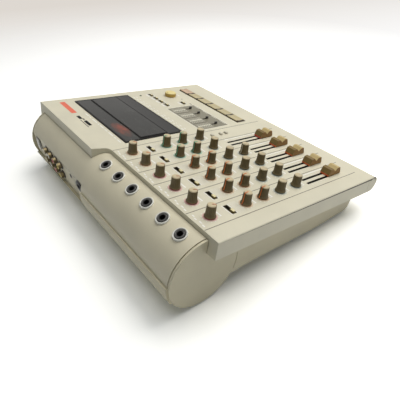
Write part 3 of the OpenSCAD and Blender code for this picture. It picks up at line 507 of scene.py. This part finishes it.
def paint_side_shade(node, material):
    """Painted shade: a control's walls get a darker colour than its top."""
    paint(node, material, lambda at, way: abs(way.z) < 0.5)


dress("input_jacks", BLACK_PLASTIC)
dress("rear_sockets", BLACK_PLASTIC)
dress_keys()
dress_faders()
dress_openings()
paint_side_shade("input_switches", SWITCH_SIDE_SHADE)
paint_side_shade("deck_switches", SWITCH_SIDE_SHADE)
paint_side_shade("pitch_knob", PITCH_SIDE_SHADE)
paint("jack_rings", BLACK_PLASTIC, lambda at, way: at.z < PHONES_BELOW_H)

# ---------------------------------------------------------------- mesh helpers


def piece(name, body, build, materials, smooth=35):
    """A new mesh piece that build() fills in world metres, riding on a CAD body."""
    mesh = bpy.data.meshes.new(name)
    shape = bmesh.new()
    build(shape)
    shape.normal_update()
    shape.to_mesh(mesh)
    shape.free()
    for material in materials:
        mesh.materials.append(material)
    thing = bpy.data.objects.new(name, mesh)
    bpy.context.scene.collection.objects.link(thing)
    for face in mesh.polygons:
        face.use_smooth = True
    mesh.set_sharp_from_angle(angle=math.radians(smooth))
    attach(thing, body)
    return thing


def patch(shape, corners, material=0):
    """One flat printed patch, given by its corners in order."""
    face = shape.faces.new([shape.verts.new(corner) for corner in corners])
    face.material_index = material
    return face


def upward_patch(shape, corners, material):
    """A printed patch that faces up from the panel, whichever way its corners run."""
    face = patch(shape, corners, material)
    face.normal_update()
    if face.normal.dot(panel_up) < 0:
        face.normal_flip()


PRINT_LIFT = 0.06


def mark(shape, u0, v0, u1, v1, material=0, lift=PRINT_LIFT):
    """A flat rectangle on the panel, in millimetres, for print and for painted shade."""
    patch(shape, [on_panel(u0, v1, lift), on_panel(u1, v1, lift), on_panel(u1, v0, lift),
                  on_panel(u0, v0, lift)], material)


def frame_marks(shape, us, vs, width, material, lift=PRINT_LIFT):
    """A flat frame, for print and for painted shade; its outer edges are at us and vs."""
    (u0, u1), (v0, v1) = us, vs
    mark(shape, u0, v0, u1, v0 + width, material, lift)
    mark(shape, u0, v1 - width, u1, v1, material, lift)
    mark(shape, u0, v0 + width, u0 + width, v1 - width, material, lift)
    mark(shape, u1 - width, v0 + width, u1, v1 - width, material, lift)


def ray_mark(shape, centre, angle, near, far, width, material=0, lift=PRINT_LIFT):
    """A printed line that points away from a knob's centre; angle 0 points to the rear."""
    a = math.radians(angle)
    along = Vector((math.sin(a), -math.cos(a)))
    across = Vector((along.y, -along.x)) * width / 2
    corners = (
        along * near - across, along * far - across, along * far + across, along * near + across,
    )
    points = [on_panel(centre[0] + c.x, centre[1] + c.y, lift) for c in corners]
    upward_patch(shape, points, material)


def ring_mark(shape, centre, inner, outer, material=0, start=0, sweep=360, lift=PRINT_LIFT):
    """A printed ring or arc round a knob; angles run clockwise from the rear."""
    steps = max(6, int(48 * sweep / 360))
    for i in range(steps):
        a, b = (math.radians(start + sweep * k / steps) for k in (i, i + 1))
        points = [
            on_panel(centre[0] + radius * math.sin(t), centre[1] - radius * math.cos(t), lift)
            for radius, t in ((inner, a), (outer, a), (outer, b), (inner, b))
        ]
        upward_patch(shape, points, material)


# ---------------------------------------------------------------- printed marks on the panel, and painted shade at slots, grooves and the door's gaps

INKS = [WHITE_INK, DARK_INK_AND_GROOVE_SHADE, BLACK_INK_AND_GAP_SHADE, ORANGE_INK, GREY_INK, SLOT_SHADE_INK]
INKS += [HALO_INK[name] for name in TINTS]
INK = {"white": 0, "dark": 1, "black": 2, "orange": 3, "grey": 4, "olive": 5}
INK.update({name: 6 + i for i, name in enumerate(TINTS)})
SCALE_SWEEP = 300
PITCH_SWEEP = 280
SKIRT = 6.2
SLOT_SHADE_LINES = (5.4, 2.6, 4.8)
DECK_REST = 2.0
WINDOW_V = (48.0, 89.5)
BADGE_BARS = ((62, 11, 4.2, 4.6), (66, 4, 8.0, 2.4), (86, 17, 6.4, 4.6), (90, 25, 3.6, 1.0))
TRIM_DASHES = ((-10.5, -6.5, 3.4), (-5.0, -1.0, 4.4), (2.0, 5.5, 3.2), (7.0, 10.5, 4.6))


def family(row, strip):
    """Which tint a knob has: by its row on the channels, green on the two stereo strips."""
    if row == "trim":
        return "red" if strip <= CHANNELS else "amber"
    if strip > CHANNELS:
        return "green" if row in ("treble", "bass") else "blue"
    return "amber" if row in ("treble", "bass") else "blue"


def knob_marks(shape, centre, tint):
    """A tinted halo, a scale of eleven ticks and a plain dash in place of a knob's name."""
    u, v = centre
    ring_mark(shape, centre, 0, SKIRT + 1.5, INK[tint], lift=0.03)
    for i in range(11):
        angle = SCALE_SWEEP * (i / 10 - 0.5)
        far = SKIRT + (3.8 if i in (0, 5, 10) else 3.1)
        ray_mark(shape, centre, angle, SKIRT + 1.9, far, 0.7, INK["white"])
    mark(shape, u - 4.6, v + SKIRT + 3.6, u + 4.6, v + SKIRT + 5.4, INK["white"])


def knob_names():
    """The row, strip and node of each mixer knob: only the channels have a pan knob."""
    for strip in range(1, STRIPS + 1):
        for row in ROWS:
            if row != "pan" or strip <= CHANNELS:
                yield row, strip, f"{row}_knob_{strip}"


def mixer_marks(shape):
    """Knob scales, the lines between the strips (painted shade of the grooves), the input switches' frames
    (painted shade of their slots) and their labels.
    """
    for row, strip, name in knob_names():
        knob_marks(shape, mixer_place(name), family(row, strip))
    for i in range(STRIPS + 1):
        u = strip_left + i * strip_pitch
        # Painted shade: dark lines along the grooves between the strips.
        mark(shape, u - 0.4, 0.8, u + 0.4, 247.5, INK["dark"])
    (_, _), (v0, v1), _ = node_box("input_switches")
    row = (v0 + v1) / 2
    for u in strip_centres:
        # Painted shade of the slot, drawn as a frame round the switch.
        frame_marks(shape, (u - 7.8, u + 7.8), (row - 2.9, row + 2.9), 0.9, INK["olive"])
        for line in (row - 3.6, row + 3.6):
            mark(shape, u - 8.5, line - 0.5, u + 8.5, line + 0.5, INK["white"])
        for k in range(4):
            mark(shape, u - 9.5, row + 6.2 + 2.4 * k, u + 9.5, row + 6.6 + 2.4 * k, INK["white"])
        for start, end, v in TRIM_DASHES:
            mark(shape, u + start, v, u + end, v + 1.5, INK["white"])


def fader_marks(shape, name, travel):
    """Painted shade lines along a fader's two slots, its scale, a long white bar and a dash for its name."""
    (u0, u1), (v0, v1), _ = node_box(name)
    u, rest = (u0 + u1) / 2, (v0 + v1) / 2
    outer, inner, end = SLOT_SHADE_LINES
    # Painted shade: black lines along the slot edges.
    for side in (-1, 1):
        for shade_line in (u + side * inner, u + side * outer):
            mark(shape, shade_line - 0.3, rest - travel - end, shade_line + 0.3, rest + end, INK["black"])
    for i in range(11):
        v = rest - travel * i / 10
        far = 10.6 if i in (0, 7, 10) else 9.2
        for side in (-1, 1):
            mark(shape, u + side * 6.4, v - 0.2, u + side * far, v + 0.2, INK["white"])
    mark(shape, u + 11.0, rest - travel - 4, u + 12.6, rest + 6, INK["white"])
    mark(shape, u - 3.5, rest + 14.5, u + 3.5, rest + 16.5, INK["white"])


def deck_marks(shape):
    """Marks round the meter panel, the pitch knob, the keys and the deck's switches."""
    (u0, u1), (v0, v1), _ = node_box("meter_panel")
    inner, outer = 1.6, 2.1
    mark(shape, u0 - inner, v0 - outer, u1 + inner, v0 - inner, INK["white"])
    mark(shape, u0 - inner, v1 + inner, u1 + inner, v1 + outer, INK["white"])
    mark(shape, u0 - outer, v0 - outer, u0 - inner, v1 + outer, INK["white"])
    mark(shape, u1 + inner, v0 - outer, u1 + outer, v1 + outer, INK["white"])
    u, v = pitch_at = mixer_place("pitch_knob")
    for i in range(11):
        far = 12.8 if i in (0, 5, 10) else 11.8
        ray_mark(shape, pitch_at, PITCH_SWEEP * (i / 10 - 0.5), 10.6, far, 0.45, INK["dark"])
    mark(shape, u - 5, v + 14.5, u + 5, v + 16, INK["white"])
    for name in KEYS:
        (k0, k1), (f0, _), _ = node_box(name)
        transport_symbol(shape, name, (k0 + k1) / 2, f0 - 4.2)
    for u, v in deck_switch_places():
        # Painted shade of the slot, drawn as a frame round the switch.
        frame_marks(shape, (u - 5.8, u + 5.8), (v - 3.2, v + 3.2), 1.2, INK["olive"])
        for line in (v - 3.8, v + 3.8):
            mark(shape, u - 6.2, line - 0.6, u + 6.2, line + 0.6, INK["white"])
        mark(shape, u - 5.0, v - 7.4, u + 5.0, v - 5.6, INK["white"])


def deck_switch_places():
    """Where the deck's slide switches stand: four in a row and one by the keys."""
    (d0, d1), (e0, e1), _ = node_box("deck_switches")
    first, last = d0 + 2 + DECK_REST, d1 - 2 + DECK_REST
    row = e0 + 1.3
    step = (last - first - 1.5) / 3
    return [(first + 1.5 + step * k, row) for k in range(4)] + [(first, e1 - 1.3)]


def transport_symbol(shape, name, u, v):
    """The plain sign beside each transport key: bars, square, arrows or dot."""
    size = 1.5
    if name == "key_pause":
        for bar in (u - 0.9, u + 0.9):
            mark(shape, bar - 0.45, v - size, bar + 0.45, v + size, INK["dark"])
    if name == "key_stop":
        mark(shape, u - size, v - size, u + size, v + size, INK["dark"])
    if name == "key_record":
        ring_mark(shape, (u, v), 0, size, INK["orange"])
    arrows = {"key_play": (0, ), "key_forward": (-1.3, 1.3), "key_rewind": (-1.3, 1.3)}
    way = -1 if name == "key_rewind" else 1
    for shift in arrows.get(name, ()):
        tip = [on_panel(u + shift + way * size, v, PRINT_LIFT)]
        base = [on_panel(u + shift - way * size, v + side * size, PRINT_LIFT) for side in (-1, 1)]
        upward_patch(shape, tip + base, INK["dark"])


def badge_marks(shape):
    """Plain orange and dark bars on the deck's rear corner, and pale dashes by the door."""
    (u0, u1), (v0, v1), _ = node_box("cassette_door")
    mark(shape, u1 - 42, 3.0, u1 + 1, 10.6, INK["orange"])
    for offset, width, v, depth in BADGE_BARS:
        mark(shape, u1 - 2 - offset, v, u1 - 2 - offset + width, v + depth, INK["black"])
    u = u0 + 6
    for k, width in enumerate((9, 5, 12, 7, 10, 4, 13, 6, 9)):
        mark(shape, u, v0 - 5.4, u + width, v0 - 3.8 - 0.4 * (k % 2), INK["white"])
        u += width + 3
    u = u0 + 8
    for k in range(14):
        width = (6, 8, 4, 7)[k % 4]
        mark(shape, u, v1 + 5.0, u + width, v1 + 6.6, INK["white"])
        mark(shape, u + 1, v1 + 9.5, u + width - 1, v1 + 10.7, INK["white"])
        u += width + 3.6


def panel_print_and_shade(shape):
    mixer_marks(shape)
    for name in FADERS:
        fader_marks(shape, name, JOINTS[name]["range_m"][1] / MM)
    deck_marks(shape)
    badge_marks(shape)


piece("panel_print_and_shade", "case", panel_print_and_shade, INKS)


def meter_print(shape):
    """Level marks on the grey panel: in each of four columns a row of dots and thin pale lines.

    The band that the record switches slide in stays free."""
    (u0, u1), (v0, v1), (_, h1) = node_box("meter_panel")
    (_, _), (s0, s1), _ = node_box("record_switches")
    free = (s0 - JOINTS["record_switches"]["range_m"][1] / MM - 1.5, s1 + 4.0)
    lift = h1 + PRINT_LIFT
    columns = 4
    width = (u1 - u0) / columns
    for c in range(columns):
        u = u0 + width * (c + 0.5)
        for i in range(7):
            v = v0 + 4.2 + i * (free[0] - v0 - 6.4) / 6
            mark(shape, u - 1.6, v - 1.2, u + 1.6, v + 1.2, 0, lift)
            mark(shape, u - 5.6, v - 0.5, u - 3.4, v + 0.5, 0, lift)
        for offset in (-7.4, 3.4, 6.2):
            mark(shape, u + offset - 0.25, v0 + 2.5, u + offset + 0.25, free[0], 0, lift)
        if c:
            mark(shape, u0 + width * c - 0.5, v0 + 1.2, u0 + width * c + 0.5, free[0], 1, lift)
        if free[1] + 1.5 < v1:
            mark(shape, u - 6.2, v1 - 1.6, u + 6.2, v1 - 0.6, 0, lift)


piece("meter_print", "case", meter_print, [GREY_INK, DARK_INK_AND_GROOVE_SHADE])


def door_lines(shape):
    """Black painted shadow lines round the door, inside its hinge pins, and round its raised window, for the
    shadow gaps there.
    """
    (u0, u1), door_v, _ = node_box("cassette_door")
    u0, u1 = u0 + 2.5, u1 - 2.5
    # Painted shadow of the gaps round the door and its window.
    frame_marks(shape, (u0, u1), door_v, 2.2, 0, 1.06)
    frame_marks(shape, (u0 + 3.5, u1 - 3.5), WINDOW_V, 1.3, 0, 2.06)


piece("door_lines", "cassette_door", door_lines, [BLACK_INK_AND_GAP_SHADE])

# ---------------------------------------------------------------- knobs

KNOB_SIDES = 72
KNOB_RIBS = 20
RIB_DEEP = 0.16
CAP_R = 4.1
TINTED_LEVELS = 2
BODY_SLOT, TINT_SLOT, CAP_SLOT, LINE_SLOT = range(4)
TURNED_DOWN = -150


KNOB_PROFILE = (
    (SKIRT - 0.05, 0.6), (SKIRT, 0.8), (SKIRT, 1.3), (SKIRT - 0.15, 1.6), (SKIRT - 0.7, 2.1),
    (SKIRT - 1.0, 2.8), (SKIRT - 1.25, 4.5), (CAP_R + 0.55, 12.6), (CAP_R + 0.42, 13.4),
)
CAP_PROFILE = ((CAP_R + 0.3, 13.5), (CAP_R + 0.22, 14.0), (CAP_R - 0.1, 14.35), (CAP_R - 0.8, 14.5))
POINTER_OUTER = (
    (0.0, 14.75), (CAP_R - 0.4, 14.75), (CAP_R + 0.6, 14.1), (CAP_R + 0.75, 12.6),
    (SKIRT - 0.95, 4.2), (SKIRT - 0.55, 2.7), (SKIRT + 0.05, 1.7), (SKIRT + 0.05, 0.8),
)
POINTER_INNER = (
    (0.0, 14.2), (CAP_R - 0.8, 14.2), (CAP_R - 0.2, 13.6), (CAP_R, 12.4),
    (SKIRT - 1.8, 4.0), (SKIRT - 1.6, 2.6), (SKIRT - 1.2, 1.5), (SKIRT - 1.0, 0.8),
)
POINTER_HALF = 0.5


def knob_ring(shape, place, radius, height, rib=0.0):
    """One ring of a knob's points, in millimetres over the panel; rib is how deep its ribs are."""
    ring = []
    for i in range(KNOB_SIDES):
        turn = 2 * math.pi * i / KNOB_SIDES
        reach = radius + rib * math.cos(KNOB_RIBS * turn)
        point = Vector((reach * math.sin(turn) * MM, reach * math.cos(turn) * MM, height * MM))
        ring.append(shape.verts.new(place @ point))
    return ring


def knob_wall(shape, low, high, slot):
    """The faces between two rings of a knob."""
    for i in range(KNOB_SIDES):
        j = (i + 1) % KNOB_SIDES
        shape.faces.new((low[j], low[i], high[i], high[j])).material_index = slot


def knob_mesh(shape, place):
    """A ribbed tapering knob with a flared tinted skirt, a pale cap and a raised pointer."""
    rings = [
        knob_ring(shape, place, radius, height, RIB_DEEP if height > 2.0 else 0.0)
        for radius, height in KNOB_PROFILE
    ]
    for level, (low, high) in enumerate(zip(rings, rings[1:])):
        knob_wall(shape, low, high, TINT_SLOT if level < TINTED_LEVELS else BODY_SLOT)
    last = rings[-1]
    for radius, height in CAP_PROFILE:
        ring = knob_ring(shape, place, radius, height)
        knob_wall(shape, last, ring, CAP_SLOT)
        last = ring
    shape.faces.new(list(reversed(last))).material_index = CAP_SLOT
    knob_pointer(shape, place)
    shape.faces.new(rings[0]).material_index = BODY_SLOT


def knob_pointer(shape, place):
    """The raised pointer: over the cap and down the body to the skirt."""
    rows = [
        [shape.verts.new(place @ Vector((side * MM, y * MM, z * MM))) for y, z in profile]
        for side in (-POINTER_HALF, POINTER_HALF)
        for profile in (POINTER_OUTER, POINTER_INNER)
    ]
    left_out, left_in, right_out, right_in = rows
    faces = [(left_out[0], right_out[0], right_in[0], left_in[0]),
             (right_out[-1], left_out[-1], left_in[-1], right_in[-1])]
    for i in range(len(POINTER_OUTER) - 1):
        faces += [
            (right_out[i], left_out[i], left_out[i + 1], right_out[i + 1]),
            (left_out[i], left_in[i], left_in[i + 1], left_out[i + 1]),
            (right_in[i], right_out[i], right_out[i + 1], right_in[i + 1]),
        ]
    for corners in faces:
        shape.faces.new(corners).material_index = LINE_SLOT


def knob_materials(tint):
    """The four materials of a knob, in the order of their slots."""
    colour = TINTS[tint]
    return [
        moulded(f"knob_body_{tint}", OLIVE, rough=0.42, grain=0.3, edge_wear_and_highlight=0.3),
        moulded(f"knob_skirt_{tint}", colour, rough=0.4, grain=0.2, edge_wear_and_highlight=0.2),
        moulded(f"knob_cap_{tint}", CREAM, rough=0.45, grain=0.2, edge_wear_and_highlight=0.1),
        moulded(f"knob_line_{tint}", POINTERS[tint], rough=0.42, grain=0.1, edge_wear_and_highlight=0.1),
    ]


def rest_turn(row, strip):
    """How far a knob stands from its middle, in degrees clockwise, as the CAD knob does."""
    if row in ("trim", "effect") or (row == "pan" and strip < CHANNELS):
        return TURNED_DOWN
    return 0


knob_looks = {tint: knob_materials(tint) for tint in TINTS}
for row, strip, name in knob_names():
    tint = family(row, strip)
    place = Matrix.Translation(Vector(JOINTS[name]["pos_m"])) @ PANEL.to_3x3().to_4x4()
    place @= Matrix.Rotation(math.radians(-rest_turn(row, strip)), 4, "Z")
    knob = piece(
        f"{name}_look", name, lambda shape: knob_mesh(shape, place), knob_looks[tint]
    )
    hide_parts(name)

# ---------------------------------------------------------------- sockets

MOUNTS = {mount["name"]: mount for mount in frame["record"]["mounts"]}


SKIN_PROFILE = ((4.17, -2.05), (4.17, 1.9), (4.0, 2.14), (3.45, 2.14), (3.4, 1.2))
INSULATOR_PROFILE = ((3.38, 0.2), (3.38, 2.0), (3.0, 2.3), (1.8, 2.3), (1.8, 0.2))
WASHER_PROFILE = ((5.7, -2.84), (5.7, -2.2), (5.4, -2.0), (4.2, -2.0), (4.2, -2.84))
CONTACT_PROFILE = ((4.6, 0.45), (4.6, 0.7), (4.4, 0.78), (4.2, 0.7), (4.2, 0.45))
PHONO_OUT = 2.9
OUTLINE_DOWN = (-5.8, 20.6)


def mount_frame(name):
    """A mount's point and its direction."""
    return Vector(MOUNTS[name]["pos_m"]), Vector(MOUNTS[name]["axis"]).normalized()


def lathe(shape, name, profile, material=0, sides=40):
    """A turned shape on a mount's axis, from (radius, height over its point) in millimetres."""
    centre, axis = mount_frame(name)
    across = axis.orthogonal().normalized()
    other = axis.cross(across)
    spokes = []
    for i in range(sides):
        turn = 2 * math.pi * i / sides
        spokes.append(across * math.cos(turn) + other * math.sin(turn))
    rows = [
        [shape.verts.new(centre + (axis * height + spoke * radius) * MM) for spoke in spokes]
        for radius, height in profile
    ]
    for low, high in zip(rows, rows[1:]):
        for i in range(sides):
            j = (i + 1) % sides
            shape.faces.new((low[i], low[j], high[j], high[i])).material_index = material


def jack_springs(shape):
    """A contact ring in the mouth of every quarter inch jack."""
    for name in MOUNTS:
        if name.startswith("input_") or name == "phones":
            lathe(shape, name, CONTACT_PROFILE)


def socket_sleeves(shape):
    """Plated skins over the phono sleeves, their coloured insulators and a black washer round each."""
    for name in MOUNTS:
        if name.startswith("phono_"):
            column = int(name[-1])
            lathe(shape, name, SKIN_PROFILE, 0)
            lathe(shape, name, INSULATOR_PROFILE, column)
            lathe(shape, name, WASHER_PROFILE, len(INSULATORS) + 1)


def on_sockets(across, down):
    """A point on the flat socket panel, in millimetres from the first upper phono socket."""
    start, axis = mount_frame("phono_upper_1")
    down_way = (mount_frame("phono_lower_1")[0] - start).normalized()
    return start + (panel_right * across + down_way * down + axis * (PRINT_LIFT - PHONO_OUT)) * MM


def socket_print(shape):
    """Thin outlines round the two groups of sockets."""
    start = mount_frame("phono_upper_1")[0]
    phones, remote, last_phono = (
        (mount_frame(name)[0] - start).dot(panel_right) / MM
        for name in ("phones", "remote", "phono_upper_4")
    )
    top, bottom = OUTLINE_DOWN
    width = 0.5
    for left, right in ((remote - 8, last_phono + 9), (phones - 10.5, remote - 11)):
        for x0, x1, d0, d1 in (
            (left, right, top, top + width),
            (left, right, bottom - width, bottom),
            (left, left + width, top, bottom),
            (right - width, right, top, bottom),
        ):
            corners = (x1, d1), (x0, d1), (x0, d0), (x1, d0)
            patch(shape, [on_sockets(*corner) for corner in corners])


piece("jack_springs", "case", jack_springs, [RIM_GREY])
piece("socket_sleeves", "case", socket_sleeves, [SLEEVE, *INSULATORS, BLACK_PLASTIC])
piece("socket_print", "case", socket_print, [DARK_INK_AND_GROOVE_SHADE])

# ---------------------------------------------------------------- stage, light and camera

CAMERA_AT = Vector((-0.3692, 0.2778, 0.3357))
CAMERA_AIM = Vector((-0.0968, 0.0605, 0.0600))
CAMERA_ROLL = 0.91
CAMERA_LENS = 35.6

FLOOR_HALF = 6.0
FLOOR_EXTRA = (0.62, 0.62, 0.6, 1)
BACKDROP = rgb(222, 216, 209)
SKY = rgb(238, 236, 232)
FADE_WAY = (1.0, -0.25, 0.0)
FADE_FROM = 0.35
FADE_TO = 1.2
BACKDROP_REACH = (0.5, 1.0)
SKY_REACH = (1.8, 4.5)
LAMP_AIM = (0, 0, 0.05)
LAMPS = (
    ("overhead", (0, 0, 1.5), 1.6, 9.2, (1.0, 0.99, 0.97)),
    ("front", (0, -0.7, 1.3), 1.2, 12.5, (1.0, 0.975, 0.94)),
    ("side", (-0.8, -0.9, 0.8), 1.0, 1.2, (1.0, 0.99, 0.97)),
)


def add_camera():
    """The camera at the photograph's viewing angle."""
    data = bpy.data.cameras.new("camera")
    data.lens = CAMERA_LENS
    data.sensor_width = 36
    data.clip_start = 0.01
    camera = bpy.data.objects.new("camera", data)
    bpy.context.scene.collection.objects.link(camera)
    camera.location = CAMERA_AT
    aim = (CAMERA_AIM - CAMERA_AT).to_track_quat("-Z", "Y")
    camera.rotation_mode = "QUATERNION"
    camera.rotation_quaternion = aim @ Quaternion((0, 0, 1), math.radians(CAMERA_ROLL))
    bpy.context.scene.camera = camera


def add_lamp(name, at, size, watts, colour):
    """A soft round lamp that points at the object."""
    data = bpy.data.lights.new(name, "AREA")
    data.shape = "DISK"
    data.size = size
    data.energy = watts
    data.color = colour
    light = bpy.data.objects.new(name, data)
    bpy.context.scene.collection.objects.link(light)
    light.location = at
    light.rotation_mode = "QUATERNION"
    light.rotation_quaternion = (Vector(LAMP_AIM) - Vector(at)).to_track_quat("-Z", "Y")


def seen_directly(tree):
    """1 for camera, mirror and glass rays, and 0 for the light that falls on the object."""
    path = tree.nodes.new("ShaderNodeLightPath")
    total = path.outputs["Is Camera Ray"]
    for name in ("Is Glossy Ray", "Is Transmission Ray"):
        both = tree.nodes.new("ShaderNodeMath")
        both.operation = "ADD"
        both.use_clamp = True
        tree.links.new(total, both.inputs[0])
        tree.links.new(path.outputs[name], both.inputs[1])
        total = both.outputs[0]
    return total


def add_floor():
    """White paper that reads brighter than it is lit, and turns into the plain backdrop further away."""
    mesh = bpy.data.meshes.new("floor")
    corners = [(x * FLOOR_HALF, y * FLOOR_HALF, 0) for x, y in ((-1, -1), (1, -1), (1, 1), (-1, 1))]
    mesh.from_pydata(corners, [], [(0, 1, 2, 3)])
    floor = bpy.data.objects.new("floor", mesh)
    bpy.context.scene.collection.objects.link(floor)
    s = Shader("floor_paper")
    cloud = s.noise(3, 2.0)
    tone = s.mix(s.ramp(cloud, 0.3, 0.7), (0.86, 0.86, 0.86, 1), (0.88, 0.88, 0.875, 1))
    paper = s.out(base=tone, rough=0.8)
    extra = s.add("ShaderNodeBsdfDiffuse", Color=FLOOR_EXTRA)
    plain = s.bsdf.outputs[0]
    bright = s.add("ShaderNodeAddShader", i0=plain, i1=extra.outputs[0])
    reach = s.add("ShaderNodeVectorMath", i0=s.place)
    reach.operation = "LENGTH"
    reach = reach.outputs["Value"]
    shade = s.mix(s.ramp(s.along(FADE_WAY), FADE_FROM, FADE_TO), (1, 1, 1, 1), BACKDROP)
    shade = s.mix(s.ramp(reach, *SKY_REACH), shade, SKY)
    backdrop = s.add("ShaderNodeEmission", Color=shade)
    far = s.ramp(reach, *BACKDROP_REACH)
    seen = s.add("ShaderNodeMixShader", i0=far, i1=bright.outputs[0], i2=backdrop.outputs[0])
    direct = seen_directly(s.tree)
    choose = s.add("ShaderNodeMixShader", i0=direct, i1=plain, i2=seen.outputs[0])
    s.tree.links.new(choose.outputs[0], s.tree.nodes["Material Output"].inputs["Surface"])
    mesh.materials.append(paper)


def add_world():
    """Dim bluish light from all round; the camera and mirrors see a plain pale sky instead."""
    world = bpy.data.worlds.new("studio")
    bpy.context.scene.world = world
    world.use_nodes = True
    tree = world.node_tree
    light = tree.nodes["Background"]
    light.inputs["Color"].default_value = (0.8, 0.95, 1.05, 1)
    light.inputs["Strength"].default_value = 0.1
    seen = tree.nodes.new("ShaderNodeBackground")
    seen.inputs["Color"].default_value = SKY
    seen.inputs["Strength"].default_value = 1.0
    choose = tree.nodes.new("ShaderNodeMixShader")
    tree.links.new(seen_directly(tree), choose.inputs[0])
    tree.links.new(light.outputs[0], choose.inputs[1])
    tree.links.new(seen.outputs[0], choose.inputs[2])
    tree.links.new(choose.outputs[0], tree.nodes["World Output"].inputs["Surface"])


add_camera()
add_floor()
add_world()
for lamp in LAMPS:
    add_lamp(*lamp)
bpy.context.scene.view_settings.view_transform = "Standard"
